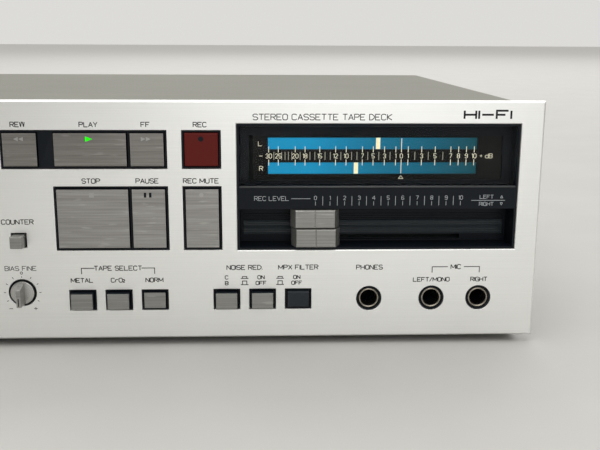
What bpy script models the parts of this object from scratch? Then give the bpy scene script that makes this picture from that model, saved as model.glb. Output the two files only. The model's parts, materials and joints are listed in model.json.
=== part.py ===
"""A front-loading stereo cassette deck, built up from its separate pieces.

Sizes are millimetres and angles are degrees. Places are counted from the middle of the front
panel's lower edge: x to the right, y back from the panel's face, z up. The empty "deck" puts
that point where the finished deck stands centred on the world's origin, feet on the ground.
"""
import math

import bmesh
import bpy

MM = 0.001

# ---------------------------------------------------------------- driving dimensions
PANEL_WIDTH = 430.0
PANEL_HEIGHT = 100.0
PANEL_THICKNESS = 3.0
PANEL_CHAMFER = 0.7
CASE_DEPTH = 271.0          # panel face to the cover's rear edge
CASE_INSET = 4.6            # the cover's side stands in from the panel's end
CASE_DROP = 1.8             # the cover's top lies below the panel's top edge
SHEET = 1.0                 # folded steel of cover, tray and rear panel
VENT_LEFT = -176.0
VENT_PITCH = 8.0
VENT_WIDTH = 3.0
VENT_COUNT = 12
FOOT_HEIGHT = 3.2           # floor to the panel's lower edge
FOOT_RADIUS = 17.0
FOOT_SPACING = 340.0        # across the deck
FOOT_FRONT = 38.0
FOOT_REAR_INSET = 33.0      # ahead of the cover's rear edge

GAP = 0.3                   # between pieces that rest on each other
SLIP = 0.35                 # round a piece that slides in its opening
LINER_GAP = 0.25            # between a cut-out's edge and the liner in it
LINER_FRONT = 0.5           # the liner's edge lies behind the panel's face
SUBFRAME_THICKNESS = 2.0

# keys: one border width round every cap, caps in three columns and two rows
KEY_BORDER = 1.15
KEY_SPLIT = 1.35            # between two caps in one opening
KEY_PROUD = 0.5
KEY_DEPTH = 6.5
KEY_TRAVEL = 1.0
KEY_EDGE = 0.3              # bevel round a cap's face
KEY_STEM = 5.0
KEY_STEM_LENGTH = 3.5
KEY_SWITCH = 3.2            # height of a light-touch switch on its board
BOARD_THICKNESS = 1.6
WIDE_KEY = 29.1
NARROW_KEY = 13.6
SHORT_KEY = 13.5
TALL_KEY = 24.6
REWIND_X = -4.5
PLAY_X = 15.75
RECORD_X = 68.0
UPPER_ROW_Z = 73.45
LOWER_ROW_Z = 39.45
MAINS_X = -204.6

# latching push buttons
BUTTON_PITCH = 15.0
BUTTON_HOLE_WIDTH = 11.2
BUTTON_HOLE_HEIGHT = 9.0
BUTTON_WIDTH = 9.0
BUTTON_HEIGHT = 6.8
BUTTON_DEPTH = 8.5
BUTTON_OUT = 2.9            # face ahead of the panel when the button is out
BUTTON_IN = 1.0
BUTTON_STEM = 3.2
TAPE_BUTTON_X = 24.3
FILTER_BUTTON_X = 84.3
LOWER_LINE_Z = 16.9

# sockets on the front
JACK_XS = {"phones_jack": 144.3, "mic_left_jack": 170.9, "mic_right_jack": 191.0}
JACK_BORE = 3.4
JACK_BUSHING = 4.3
JACK_HOLE = 5.4
JACK_DEPTH = 30.0
JACK_BODY = 12.0

# bias trimming knob and the counter's reset button
BIAS_X = -0.5
BIAS_Z = 20.4
BIAS_RADIUS = 4.95
BIAS_HOLE = 5.8
BIAS_PROUD = 0.8
BIAS_GRIP_PROUD = 7.0
BIAS_GRIP_WIDTH = 1.9
BIAS_SHAFT = 3.0
RESET_SIZE = 4.9
RESET_HOLE = 6.3
RESET_PROUD = 5.2
COUNTER_Z = 42.8
COUNTER_X = -27.0
COUNTER_WIDTH = 24.0
COUNTER_HEIGHT = 9.0
WHEEL_RADIUS = 6.5
WHEEL_WIDTH = 5.6
WHEEL_PITCH = 6.5
AXLE_RADIUS = 1.5

# meter window and level controls
WINDOW_LEFT = 89.0
WINDOW_RIGHT = 205.4
WINDOW_BOTTOM = 38.1
WINDOW_CHAMFER = 0.3
BEZEL_WALL = 0.7
BEZEL_DEPTH = 15.0
CHANNEL_DEPTH = 13.0
CHANNEL_CLEARANCE = 0.3     # above the upper knob
STRIP_HEIGHT = 9.1
METER_HEIGHT = 26.2         # window above the level strip
STRIP_THICKNESS = 2.0
SHELF_THICKNESS = 1.6
MASK_MARGIN = 4.6
MASK_FRONT = 9.0
MASK_THICKNESS = 1.0
GLASS_THICKNESS = 2.0
SCALE_THICKNESS = 0.8
BAND_LEFT = 101.8
BAND_RIGHT = 190.0
BAND_HEIGHT = 4.86
BAND_RISE = 4.05            # right channel's band above the level strip
BAND_SPACING = 10.44
METER_DEPTH = 24.0
POINTER_WIDTH = 1.8
POINTER_THICKNESS = 0.5
LEFT_POINTER_X = 148.2
RIGHT_POINTER_X = 139.0
LEVEL_X = 121.2
LEVEL_TRAVEL = 60.0
LEVEL_OFFSET = 0.4          # how far the right channel's knob stands past zero
LEVEL_FACE = 16.2
LEVEL_BASE = 20.2
LEVEL_HEIGHT = 7.6
LEVEL_SPLIT = 0.5
LEVEL_PROUD = 1.0
LEVER_WIDTH = 5.0
LEVER_HEIGHT = 1.4
RIB_PITCH = 1.0

# cassette well
WELL_X = -118.0
DOOR_WIDTH = 127.0
DOOR_THICKNESS = 2.6
DOOR_BOTTOM = 13.2
DOOR_TOP = 90.3
DOOR_GAP = 0.6
DOOR_SILL_GAP = 1.8
DOOR_WINDOW_WIDTH = 92.0
DOOR_WINDOW_BOTTOM = 34.0
DOOR_WINDOW_TOP = 78.0
PIVOT_Y = 6.2
PIVOT_Z = 22.0
PIVOT_PIN = 1.2
CASSETTE_WIDTH = 100.4
CASSETTE_HEIGHT = 63.8
CASSETTE_THICKNESS = 12.0
CASSETTE_PLAY = 0.6
HUB_SPACING = 42.5
HUB_HEIGHT = 34.5           # hub centre above the cassette's tape edge
HOLDER_WALL = 2.4
SHELF_Z = 20.2              # the cassette's tape edge rests here
DOOR_GLASS = 1.5
HOLDER_BAR = 1.4
HOLDER_BACK = 1.2
PLATE_CLEARANCE = 1.1       # behind the closed door's holder
PLATE_THICKNESS = 2.0
CAPSTAN_OFFSET = 24.6
CAPSTAN_RISE = 5.3
CAPSTAN_RADIUS = 1.25
FLYWHEEL_RADIUS = 21.5
FLYWHEEL_SETBACK = 13.0     # behind the plate's face
FLYWHEEL_WIDTH = 9.0
PULLEY_RADIUS = 5.0
MOTOR_OFFSET = -26.0
MOTOR_RADIUS = 17.0
PINCH_RADIUS = 6.0
PINCH_DROP = 13.0           # roller below the capstan when the deck is stopped
PINCH_ARM = 15.4
PINCH_FALL = 3.5
HEAD_RISE = 6.5

# rear sockets
SOCKET_X = 130.0
SOCKET_Z = 40.0
SOCKET_PITCH = 16.0
SOCKET_BARREL = 4.1
SOCKET_BORE = 1.6
SOCKET_REACH = 8.0
INLET_X = -176.0
INLET_Z = 30.0

# ---------------------------------------------------------------- sizes that follow
case_half = PANEL_WIDTH / 2 - CASE_INSET
case_top = PANEL_HEIGHT - CASE_DROP
inner_half = case_half - SHEET - GAP
inner_top = case_top - SHEET - GAP
subframe_front = PANEL_THICKNESS + GAP
subframe_back = subframe_front + SUBFRAME_THICKNESS
rear_sheet = CASE_DEPTH - 0.5 - SHEET
floor_top = SHEET + 0.8
front_reach = BIAS_GRIP_PROUD
rear_reach = rear_sheet + SHEET + GAP + 2.0 + SOCKET_REACH

well_left = WELL_X - DOOR_WIDTH / 2 - DOOR_GAP
well_right = WELL_X + DOOR_WIDTH / 2 + DOOR_GAP
well_bottom = DOOR_BOTTOM - DOOR_SILL_GAP
well_top = DOOR_TOP + DOOR_GAP
channel_bottom = WINDOW_BOTTOM + LINER_GAP + BEZEL_WALL
channel_top = channel_bottom + SLIP + 2 * LEVEL_HEIGHT + LEVEL_SPLIT + CHANNEL_CLEARANCE
strip_top = channel_top + STRIP_HEIGHT
window_top = strip_top + METER_HEIGHT
right_band_z = strip_top + BAND_RISE
left_band_z = right_band_z + BAND_SPACING
board_face = KEY_DEPTH - KEY_PROUD + KEY_STEM_LENGTH + KEY_TRAVEL + 0.8 + KEY_SWITCH

holder_front = DOOR_THICKNESS + GAP + DOOR_GLASS + GAP
pocket_front = holder_front + HOLDER_BAR
pocket_back = pocket_front + CASSETTE_THICKNESS + CASSETTE_PLAY
plate_front = pocket_back + HOLDER_BACK + PLATE_CLEARANCE
flywheel_front = plate_front + FLYWHEEL_SETBACK
hub_z = SHELF_Z + HUB_HEIGHT
capstan_x = WELL_X + CAPSTAN_OFFSET
capstan_z = SHELF_Z + CAPSTAN_RISE
plate_back = plate_front + PLATE_THICKNESS

ff_x = PLAY_X + WIDE_KEY + KEY_SPLIT
KEYS = {
    "rew_key": (REWIND_X, UPPER_ROW_Z, NARROW_KEY, SHORT_KEY),
    "play_key": (PLAY_X, UPPER_ROW_Z, WIDE_KEY, SHORT_KEY),
    "ff_key": (ff_x, UPPER_ROW_Z, NARROW_KEY, SHORT_KEY),
    "stop_key": (PLAY_X, LOWER_ROW_Z, WIDE_KEY, TALL_KEY),
    "pause_key": (ff_x, LOWER_ROW_Z, NARROW_KEY, TALL_KEY),
    "rec_key": (RECORD_X, UPPER_ROW_Z, NARROW_KEY, SHORT_KEY),
    "rec_mute_key": (RECORD_X, LOWER_ROW_Z, NARROW_KEY, TALL_KEY),
    "eject_button": (MAINS_X, UPPER_ROW_Z, NARROW_KEY, SHORT_KEY),
    "power_button": (MAINS_X, LOWER_ROW_Z, NARROW_KEY, TALL_KEY),
}
KEY_GROUPS = [
    ("rew_key", "ff_key"),
    ("stop_key", "pause_key"),
    ("rec_key", "rec_key"),
    ("rec_mute_key", "rec_mute_key"),
    ("eject_button", "eject_button"),
    ("power_button", "power_button"),
]
BUTTONS = {
    "metal_tape_button": (TAPE_BUTTON_X, BUTTON_OUT),
    "chrome_tape_button": (TAPE_BUTTON_X + BUTTON_PITCH, BUTTON_OUT),
    "normal_tape_button": (TAPE_BUTTON_X + 2 * BUTTON_PITCH, BUTTON_IN),
    "nr_type_button": (FILTER_BUTTON_X, BUTTON_OUT),
    "nr_switch_button": (FILTER_BUTTON_X + BUTTON_PITCH, BUTTON_OUT),
    "mpx_filter_button": (FILTER_BUTTON_X + 2 * BUTTON_PITCH, BUTTON_IN),
}

# ---------------------------------------------------------------- finishes
FINISHES = {
    "brushed_aluminium": ((0.60, 0.60, 0.59), 0.38, 1.0),
    "key_metal": ((0.34, 0.34, 0.33), 0.42, 1.0),
    "cover_paint": ((0.17, 0.17, 0.15), 0.55, 0.2),
    "black_plastic": ((0.012, 0.013, 0.016), 0.45, 0.0),
    "record_red": ((0.17, 0.012, 0.008), 0.35, 0.0),
    "dark_cap": ((0.035, 0.04, 0.048), 0.4, 0.0),
    "clear_glass": ((0.75, 0.8, 0.82), 0.05, 0.0),
    "smoked_glass": ((0.05, 0.05, 0.055), 0.06, 0.0),
    "meter_light": ((0.02, 0.33, 0.62), 0.5, 0.0),
    "pointer_cream": ((0.92, 0.87, 0.58), 0.5, 0.0),
    "zinc_steel": ((0.45, 0.44, 0.41), 0.4, 0.9),
    "polished_steel": ((0.62, 0.62, 0.62), 0.15, 1.0),
    "socket_metal": ((0.32, 0.29, 0.25), 0.3, 1.0),
    "circuit_board": ((0.30, 0.19, 0.07), 0.6, 0.0),
    "iron_core": ((0.10, 0.09, 0.08), 0.6, 0.7),
    "rubber_black": ((0.02, 0.02, 0.02), 0.85, 0.0),
    "wheel_white": ((0.80, 0.80, 0.76), 0.5, 0.0),
    "spindle_grey": ((0.55, 0.55, 0.53), 0.45, 0.0),
}

for old in list(bpy.data.objects):
    bpy.data.objects.remove(old, do_unlink=True)

deck = bpy.data.objects.new("deck", None)
deck.location = (0.0, -(rear_reach - front_reach) / 2 * MM, FOOT_HEIGHT * MM)
bpy.context.scene.collection.objects.link(deck)


def finish(name):
    """The finish of that name, made the first time that it is asked for."""
    material = bpy.data.materials.get(name)
    if material is None:
        colour, roughness, metallic = FINISHES[name]
        material = bpy.data.materials.new(name)
        material.use_nodes = True
        shader = material.node_tree.nodes["Principled BSDF"]
        shader.inputs["Base Color"].default_value = (*colour, 1.0)
        shader.inputs["Roughness"].default_value = roughness
        shader.inputs["Metallic"].default_value = metallic
    return material


# ---------------------------------------------------------------- shapes
def rectangle(x, z, y):
    """Four corners of an upright rectangle; x and z are (low, high) pairs."""
    return [(x[0], y, z[0]), (x[1], y, z[0]), (x[1], y, z[1]), (x[0], y, z[1])]


def circle(axis, centre, radius, at, sides, teeth=0, tooth=0.0):
    """A ring of points round an axis; centre gives the two other coordinates in order.

    With teeth, a third of the points of each tooth's share stand out by tooth."""
    ring = []
    share = sides // teeth if teeth else sides
    for i in range(sides):
        angle = 2 * math.pi * (i + 0.5) / sides
        proud = tooth if teeth and i % share < share // 3 + 1 else 0.0
        u = centre[0] + (radius + proud) * math.cos(angle)
        v = centre[1] + (radius + proud) * math.sin(angle)
        ring.append({"X": (at, u, v), "Y": (u, at, v), "Z": (u, v, at)}[axis])
    return ring


def loft(rings, closed=False):
    """A skin through rings of equally many points, capped flat, or closed on itself."""
    count = len(rings[0])
    points = [point for ring in rings for point in ring]
    faces = []
    for k in range(len(rings) if closed else len(rings) - 1):
        here = k * count
        there = (k + 1) % len(rings) * count
        for i in range(count):
            j = (i + 1) % count
            faces.append((here + i, there + i, there + j, here + j))
    if not closed:
        faces.append(tuple(range(count)))
        faces.append(tuple(range(len(points) - count, len(points))))
    return points, faces


def box(x, y, z):
    """A block; each argument is a (low, high) pair."""
    return loft([rectangle(x, z, y[0]), rectangle(x, z, y[1])])


def stepped(*stations):
    """Rectangles (y, x pair, z pair) joined from front to back."""
    return loft([rectangle(x, z, y) for y, x, z in stations])


def turned(axis, centre, stations, sides=24):
    """A turned solid through (radius, place along the axis) stations."""
    return loft([circle(axis, centre, radius, at, sides) for radius, at in stations])


def sleeve(axis, centre, profile, sides=24):
    """A turned ring whose section is the closed outline of (radius, place) pairs."""
    rings = [circle(axis, centre, radius, at, sides) for radius, at in profile]
    return loft(rings, closed=True)


def prism(outline, axis, low, high):
    """An outline of the two other coordinates, drawn out along an axis."""
    def ring(at):
        order = {"X": lambda u, v: (at, u, v), "Y": lambda u, v: (u, at, v),
                 "Z": lambda u, v: (u, v, at)}[axis]
        return [order(u, v) for u, v in outline]
    return loft([ring(low), ring(high)])


def about(centre, half):
    """The (low, high) pair that reaches half to each side of a centre."""
    return centre - half, centre + half


def grown(pair, by):
    """A (low, high) pair widened at both ends."""
    return pair[0] - by, pair[1] + by


def key_spans(first, last, border=0.0):
    """x and z pairs that take in two keys of a row, with a border."""
    left = KEYS[first][0]
    right = KEYS[last][0] + KEYS[last][2]
    low, high = KEYS[first][1], KEYS[first][1] + KEYS[first][3]
    return grown((left, right), border), grown((low, high), border)


# ---------------------------------------------------------------- objects
def make_object(name, shapes, origin):
    """An object under the deck's empty, its mesh counted from origin, faces out."""
    points = []
    faces = []
    for shape_points, shape_faces in shapes:
        start = len(points)
        points += [tuple((p - o) * MM for p, o in zip(point, origin)) for point in shape_points]
        faces += [tuple(start + i for i in face) for face in shape_faces]
    mesh = bpy.data.meshes.new(name)
    mesh.from_pydata(points, [], faces)
    skin = bmesh.new()
    skin.from_mesh(mesh)
    bmesh.ops.recalc_face_normals(skin, faces=skin.faces)
    skin.to_mesh(mesh)
    skin.free()
    made = bpy.data.objects.new(name, mesh)
    made.location = [o * MM for o in origin]
    made.parent = deck
    bpy.context.scene.collection.objects.link(made)
    return made


def piece(name, look, shape, origin=(0.0, 0.0, 0.0), smooth=False):
    """A named sub-part with its finish."""
    made = make_object(name, [shape], origin)
    made.data.materials.append(finish(look))
    if smooth:
        made.data.shade_smooth()
        made.data.set_sharp_from_angle(angle=math.radians(35))
    return made


def tool(target, operation, shapes):
    """A hidden guide that a Boolean on target adds or takes away."""
    count = len(target.modifiers)
    guide = make_object(f"guide_{target.name}_{count}", shapes, (0.0, 0.0, 0.0))
    guide.hide_render = True
    guide.display_type = "WIRE"
    step = target.modifiers.new(f"{operation.lower()}_{count}", "BOOLEAN")
    step.operation = operation
    step.object = guide
    step.solver = "EXACT"


def cut(target, *shapes):
    """Takes shapes that stand clear of each other out of a piece."""
    tool(target, "DIFFERENCE", shapes)


def fuse(target, *shapes):
    """Adds shapes that stand clear of each other to a piece."""
    tool(target, "UNION", shapes)


# ---------------------------------------------------------------- openings in the front
def front_openings(front, back, key_border, button_border, jack_radius, bias_radius):
    """Cutters for every key, button, socket and knob, from front to back."""
    shapes = []
    for first, last in KEY_GROUPS:
        x, z = key_spans(first, last, key_border)
        shapes.append(box(x, (front, back), z))
    for x, _ in BUTTONS.values():
        shapes.append(box(about(x, BUTTON_HOLE_WIDTH / 2 - button_border), (front, back),
                          about(LOWER_LINE_Z, BUTTON_HOLE_HEIGHT / 2 - button_border)))
    for x in JACK_XS.values():
        shapes.append(turned("Y", (x, LOWER_LINE_Z), [(jack_radius, front), (jack_radius, back)], 32))
    shapes.append(turned("Y", (BIAS_X, BIAS_Z), [(bias_radius, front), (bias_radius, back)], 32))
    return shapes


def front_panel():
    """The thick face plate with its bright edge and all its cut-outs."""
    half = PANEL_WIDTH / 2
    c = PANEL_CHAMFER
    panel = piece("front_panel", "brushed_aluminium", stepped(
        (0.0, about(0.0, half - c), (c, PANEL_HEIGHT - c)),
        (c, about(0.0, half), (0.0, PANEL_HEIGHT)),
        (PANEL_THICKNESS, about(0.0, half), (0.0, PANEL_HEIGHT))))
    front, back = -1.0, PANEL_THICKNESS + 1.0
    window_x, window_z = (WINDOW_LEFT, WINDOW_RIGHT), (WINDOW_BOTTOM, window_top)
    flare = WINDOW_CHAMFER - front
    holes = front_openings(front, back, KEY_BORDER, 0.0, JACK_HOLE, BIAS_HOLE)
    holes.append(stepped((front, grown(window_x, flare), grown(window_z, flare)),
                         (WINDOW_CHAMFER, window_x, window_z),
                         (back, window_x, window_z)))
    holes.append(box((well_left, well_right), (front, back), (well_bottom, well_top)))
    holes.append(box(about(BIAS_X, RESET_HOLE / 2), (front, back), about(COUNTER_Z, RESET_HOLE / 2)))
    holes.append(box(about(COUNTER_X, COUNTER_WIDTH / 2), (front, back),
                     about(COUNTER_Z, COUNTER_HEIGHT / 2)))
    cut(panel, *holes)


def front_subframe():
    """The black moulding behind the panel, whose liners stand in the panel's cut-outs."""
    frame = piece("front_subframe", "black_plastic",
                  box(about(0.0, inner_half), (subframe_front, subframe_back), (4.0, inner_top)))
    root = subframe_back - 0.5
    liners = front_openings(LINER_FRONT, root, KEY_BORDER - LINER_GAP, LINER_GAP,
                            JACK_HOLE - LINER_GAP, BIAS_HOLE - LINER_GAP)
    liners.append(box(about(BIAS_X, RESET_HOLE / 2 - LINER_GAP), (LINER_FRONT, root),
                      about(COUNTER_Z, RESET_HOLE / 2 - LINER_GAP)))
    liners.append(box(about(COUNTER_X, COUNTER_WIDTH / 2 - LINER_GAP), (LINER_FRONT, root),
                      about(COUNTER_Z, COUNTER_HEIGHT / 2 - LINER_GAP)))
    fuse(frame, *liners)
    front, back = -1.0, subframe_back + 1.0
    holes = []
    for x, z, width, height in KEYS.values():
        holes.append(box(grown((x, x + width), SLIP), (front, back), grown((z, z + height), SLIP)))
    for x, _ in BUTTONS.values():
        holes.append(box(about(x, BUTTON_WIDTH / 2 + SLIP), (front, back),
                         about(LOWER_LINE_Z, BUTTON_HEIGHT / 2 + SLIP)))
    for x in JACK_XS.values():
        holes.append(turned("Y", (x, LOWER_LINE_Z),
                            [(JACK_BUSHING + GAP, front), (JACK_BUSHING + GAP, back)], 32))
    shaft_hole = BIAS_SHAFT + SLIP
    well = BIAS_RADIUS + SLIP
    floor = subframe_front - 0.8
    holes.append(turned("Y", (BIAS_X, BIAS_Z),
                        [(well, front), (well, floor), (shaft_hole, floor), (shaft_hole, back)], 32))
    holes.append(box(about(BIAS_X, RESET_SIZE / 2 + SLIP), (front, back),
                     about(COUNTER_Z, RESET_SIZE / 2 + SLIP)))
    holes.append(box(about(COUNTER_X, COUNTER_WIDTH / 2 - 1.0), (front, back),
                     about(COUNTER_Z, COUNTER_HEIGHT / 2 - 1.0)))
    holes.append(box(grown((well_left, well_right), 2.0), (front, back), (well_bottom - 3.0, well_top + 2.0)))
    holes.append(box(grown((WINDOW_LEFT, WINDOW_RIGHT), GAP), (front, back),
                     grown((WINDOW_BOTTOM, window_top), GAP)))
    cut(frame, *holes)


# ---------------------------------------------------------------- keys and buttons
def keys():
    """Light-touch keys, and the two mains-side buttons of the same shape."""
    for name, (x, z, width, height) in KEYS.items():
        look = "record_red" if name == "rec_key" else "key_metal"
        spread_x, spread_z = (x, x + width), (z, z + height)
        middle_x, middle_z = x + width / 2, z + height / 2
        face = -KEY_PROUD
        heel = face + KEY_DEPTH
        tip = heel + KEY_STEM_LENGTH
        stem_x, stem_z = about(middle_x, KEY_STEM / 2), about(middle_z, KEY_STEM / 2)
        piece(name, look, stepped(
            (face, grown(spread_x, -KEY_EDGE), grown(spread_z, -KEY_EDGE)),
            (face + KEY_EDGE, spread_x, spread_z),
            (heel, spread_x, spread_z),
            (heel, stem_x, stem_z),
            (tip, stem_x, stem_z)), origin=(middle_x, face, middle_z))


def push_buttons():
    """Latching buttons with the stems that work the switch bank."""
    for name, (x, proud) in BUTTONS.items():
        look = "dark_cap" if name == "mpx_filter_button" else "key_metal"
        spread_x, spread_z = about(x, BUTTON_WIDTH / 2), about(LOWER_LINE_Z, BUTTON_HEIGHT / 2)
        stem_x, stem_z = about(x, BUTTON_STEM / 2), about(LOWER_LINE_Z, BUTTON_STEM / 2)
        heel = BUTTON_DEPTH - proud
        piece(name, look, stepped(
            (-proud, grown(spread_x, -KEY_EDGE), grown(spread_z, -KEY_EDGE)),
            (KEY_EDGE - proud, spread_x, spread_z),
            (heel, spread_x, spread_z),
            (heel, stem_x, stem_z),
            (heel + 14.0, stem_x, stem_z)), origin=(x, -proud, LOWER_LINE_Z))
    spread_x, spread_z = about(BIAS_X, RESET_SIZE / 2), about(COUNTER_Z, RESET_SIZE / 2)
    piece("counter_reset_button", "key_metal", stepped(
        (-RESET_PROUD, grown(spread_x, -KEY_EDGE), grown(spread_z, -KEY_EDGE)),
        (KEY_EDGE - RESET_PROUD, spread_x, spread_z),
        (8.0, spread_x, spread_z)), origin=(BIAS_X, -RESET_PROUD, COUNTER_Z))


def switch_bank():
    """The row of latching switches on one rail behind the six push buttons."""
    front = 14.0
    left, right = TAPE_BUTTON_X - 7.5, FILTER_BUTTON_X + 2 * BUTTON_PITCH + 7.5
    bank = piece("push_switch_bank", "zinc_steel",
                 box((left, right), (front, front + 1.5), about(LOWER_LINE_Z, 8.0)))
    bodies = []
    stems = []
    for x, _ in BUTTONS.values():
        bodies.append(box(about(x, 5.0), (front + 0.5, front + 24.0), about(LOWER_LINE_Z, 5.0)))
        stems.append(box(about(x, BUTTON_STEM / 2 + SLIP), (front - 1.0, front + 14.0),
                         about(LOWER_LINE_Z, BUTTON_STEM / 2 + SLIP)))
    fuse(bank, *bodies)
    cut(bank, *stems)


def bias_knob():
    """The trimming knob: a flat disc with an upright grip bar, and its shaft."""
    grip_low, grip_high = BIAS_Z - 4.6, BIAS_Z + 4.6
    knob = piece("bias_knob", "key_metal",
                 turned("Y", (BIAS_X, BIAS_Z),
                        [(BIAS_RADIUS - 0.3, -BIAS_PROUD), (BIAS_RADIUS, 0.3 - BIAS_PROUD),
                         (BIAS_RADIUS, 1.6), (BIAS_SHAFT, 1.6), (BIAS_SHAFT, 12.0)], 32),
                 origin=(BIAS_X, 0.0, BIAS_Z), smooth=True)
    rake = 1.7
    fuse(knob, prism([(0.5 - BIAS_PROUD, grip_high), (-BIAS_GRIP_PROUD, grip_high - rake),
                      (-BIAS_GRIP_PROUD, grip_low), (0.5 - BIAS_PROUD, grip_low)],
                     "X", *about(BIAS_X, BIAS_GRIP_WIDTH / 2)))


def front_board():
    """Circuit board behind the keys, with its light-touch switches and the bias potentiometer."""
    face = board_face
    back = face + BOARD_THICKNESS
    low = LOWER_ROW_Z - 5.0
    board = piece("front_board", "circuit_board",
                  box((REWIND_X - 4.0, RECORD_X + NARROW_KEY + 4.0), (face, back),
                      (low, PANEL_HEIGHT - 9.0)))
    fuse(board, box(about(BIAS_X, 8.1), (face, back), (BIAS_Z - 12.0, low + 1.0)))
    switches = []
    for name, (x, z, width, height) in KEYS.items():
        if x > REWIND_X - 1.0:
            switches.append(box(about(x + width / 2, 3.0), (face - KEY_SWITCH, face + 0.5),
                                about(z + height / 2, 3.0)))
    switches.append(turned("Y", (BIAS_X, BIAS_Z), [(7.5, 7.0), (7.5, face + 0.5)]))
    fuse(board, *switches)
    bore = BIAS_SHAFT + SLIP
    cut(board, turned("Y", (BIAS_X, BIAS_Z), [(bore, 6.0), (bore, 13.0)]))


def jacks():
    """Three quarter-inch sockets with bushings through the panel."""
    for name, x in JACK_XS.items():
        centre = (x, LOWER_LINE_Z)
        front = LINER_FRONT + 0.1
        jack = piece(name, "socket_metal",
                     turned("Y", centre, [(JACK_BUSHING - 0.3, front), (JACK_BUSHING, front + 0.3),
                                          (JACK_BUSHING, 8.0)]), smooth=True)
        fuse(jack, box(about(x, JACK_BODY / 2), (subframe_back + GAP, JACK_DEPTH),
                       about(LOWER_LINE_Z, JACK_BODY / 2)))
        cut(jack, turned("Y", centre, [(JACK_BORE + 1.0, front - 0.6), (JACK_BORE, front + 0.4),
                                       (JACK_BORE, JACK_DEPTH - 2.0)]))


# ---------------------------------------------------------------- counter
def counter():
    """Three number wheels on an axle in a frame behind their window."""
    axis_y = subframe_back + GAP + WHEEL_RADIUS + 0.4
    reach = WHEEL_RADIUS + 0.8
    inner = 1.5 * WHEEL_PITCH + 0.2
    outer = inner + 1.6
    back = axis_y + reach + 1.5
    frame = piece("counter_frame", "black_plastic",
                  box(about(COUNTER_X, outer), (subframe_back + GAP, back),
                      about(COUNTER_Z, reach + 1.5)))
    cut(frame, box(about(COUNTER_X, inner), (0.0, axis_y + reach), about(COUNTER_Z, reach)))
    fuse(frame, turned("X", (axis_y, COUNTER_Z),
                       [(AXLE_RADIUS, COUNTER_X - inner - 0.8), (AXLE_RADIUS, COUNTER_X + inner + 0.8)], 16))
    names = ["counter_hundreds_wheel", "counter_tens_wheel", "counter_units_wheel"]
    for i, name in enumerate(names):
        x = COUNTER_X + (i - 1) * WHEEL_PITCH
        low, high = about(x, WHEEL_WIDTH / 2)
        bore = AXLE_RADIUS + SLIP
        piece(name, "wheel_white",
              sleeve("X", (axis_y, COUNTER_Z), [(WHEEL_RADIUS, low), (WHEEL_RADIUS, high),
                                                (bore, high), (bore, low)], 30),
              origin=(x, axis_y, COUNTER_Z), smooth=True)


# ---------------------------------------------------------------- meter and level controls
def meter_bezel():
    """The black moulding in the window: glass rebate, level strip and knob channel."""
    left, right = WINDOW_LEFT + LINER_GAP, WINDOW_RIGHT - LINER_GAP
    bottom, top = WINDOW_BOTTOM + LINER_GAP, window_top - LINER_GAP
    inside_x = (left + BEZEL_WALL, right - BEZEL_WALL)
    bezel = piece("meter_bezel", "black_plastic",
                  box((left, right), (LINER_FRONT, BEZEL_DEPTH), (bottom, top)))
    mask_back = MASK_FRONT + MASK_THICKNESS
    wide = grown((left, right), 5.0)
    shelf = channel_top + SHELF_THICKNESS
    ledge = strip_top - SHELF_THICKNESS
    cut(bezel,
        box(inside_x, (-1.0, MASK_FRONT), (strip_top, top - BEZEL_WALL)),
        box(inside_x, (-1.0, CHANNEL_DEPTH), (channel_bottom, channel_top)))
    cut(bezel, box(wide, (mask_back, BEZEL_DEPTH + 1.0), (ledge - 1.0, top + 5.0)))
    cut(bezel, box(wide, (LINER_FRONT + STRIP_THICKNESS, BEZEL_DEPTH + 1.0), (shelf, ledge)))
    cut(bezel, box((left + MASK_MARGIN, right - MASK_MARGIN), (MASK_FRONT - 1.0, mask_back + 1.0),
                   (strip_top + 1.6, top - MASK_MARGIN - 1.0)))
    slots = []
    travel = (LEVEL_X - LEVER_WIDTH / 2 - 1.0, LEVEL_X + LEVEL_TRAVEL + LEVER_WIDTH / 2 + 1.0)
    for lever_z in lever_heights():
        slots.append(box(travel, (CHANNEL_DEPTH - 1.0, BEZEL_DEPTH + 1.0),
                         about(lever_z, LEVER_HEIGHT / 2 + SLIP)))
    low, high = lever_heights()[1] + 2.0, lever_heights()[0] - 2.0
    for i in range(int((high - low) / RIB_PITCH)):
        groove = low + (i + 0.5) * RIB_PITCH
        slots.append(box(grown(inside_x, -1.0), (CHANNEL_DEPTH - 1.0, CHANNEL_DEPTH + 0.4),
                         about(groove, RIB_PITCH / 4)))
    cut(bezel, *slots)


def level_heights():
    """Middles of the left channel's knob (above) and the right channel's knob (below)."""
    below = channel_bottom + SLIP + LEVEL_HEIGHT / 2
    return below + LEVEL_HEIGHT + LEVEL_SPLIT, below


def lever_heights():
    """Levers run along the knobs' outer edges, so that the ribbed wall stays whole."""
    above, below = level_heights()
    shift = LEVEL_HEIGHT / 2 - LEVER_HEIGHT / 2 - 0.6
    return above + shift, below - shift


def meter_glass():
    """The clear window that stands on the level strip, over the meter."""
    front = LINER_FRONT + 0.4
    back = front + GLASS_THICKNESS
    low, high = strip_top + GAP, window_top - LINER_GAP - BEZEL_WALL - GAP
    inset = LINER_GAP + BEZEL_WALL + GAP
    piece("meter_window", "clear_glass",
          box((WINDOW_LEFT + inset, WINDOW_RIGHT - inset), (front, back), (low, high)))


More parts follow.
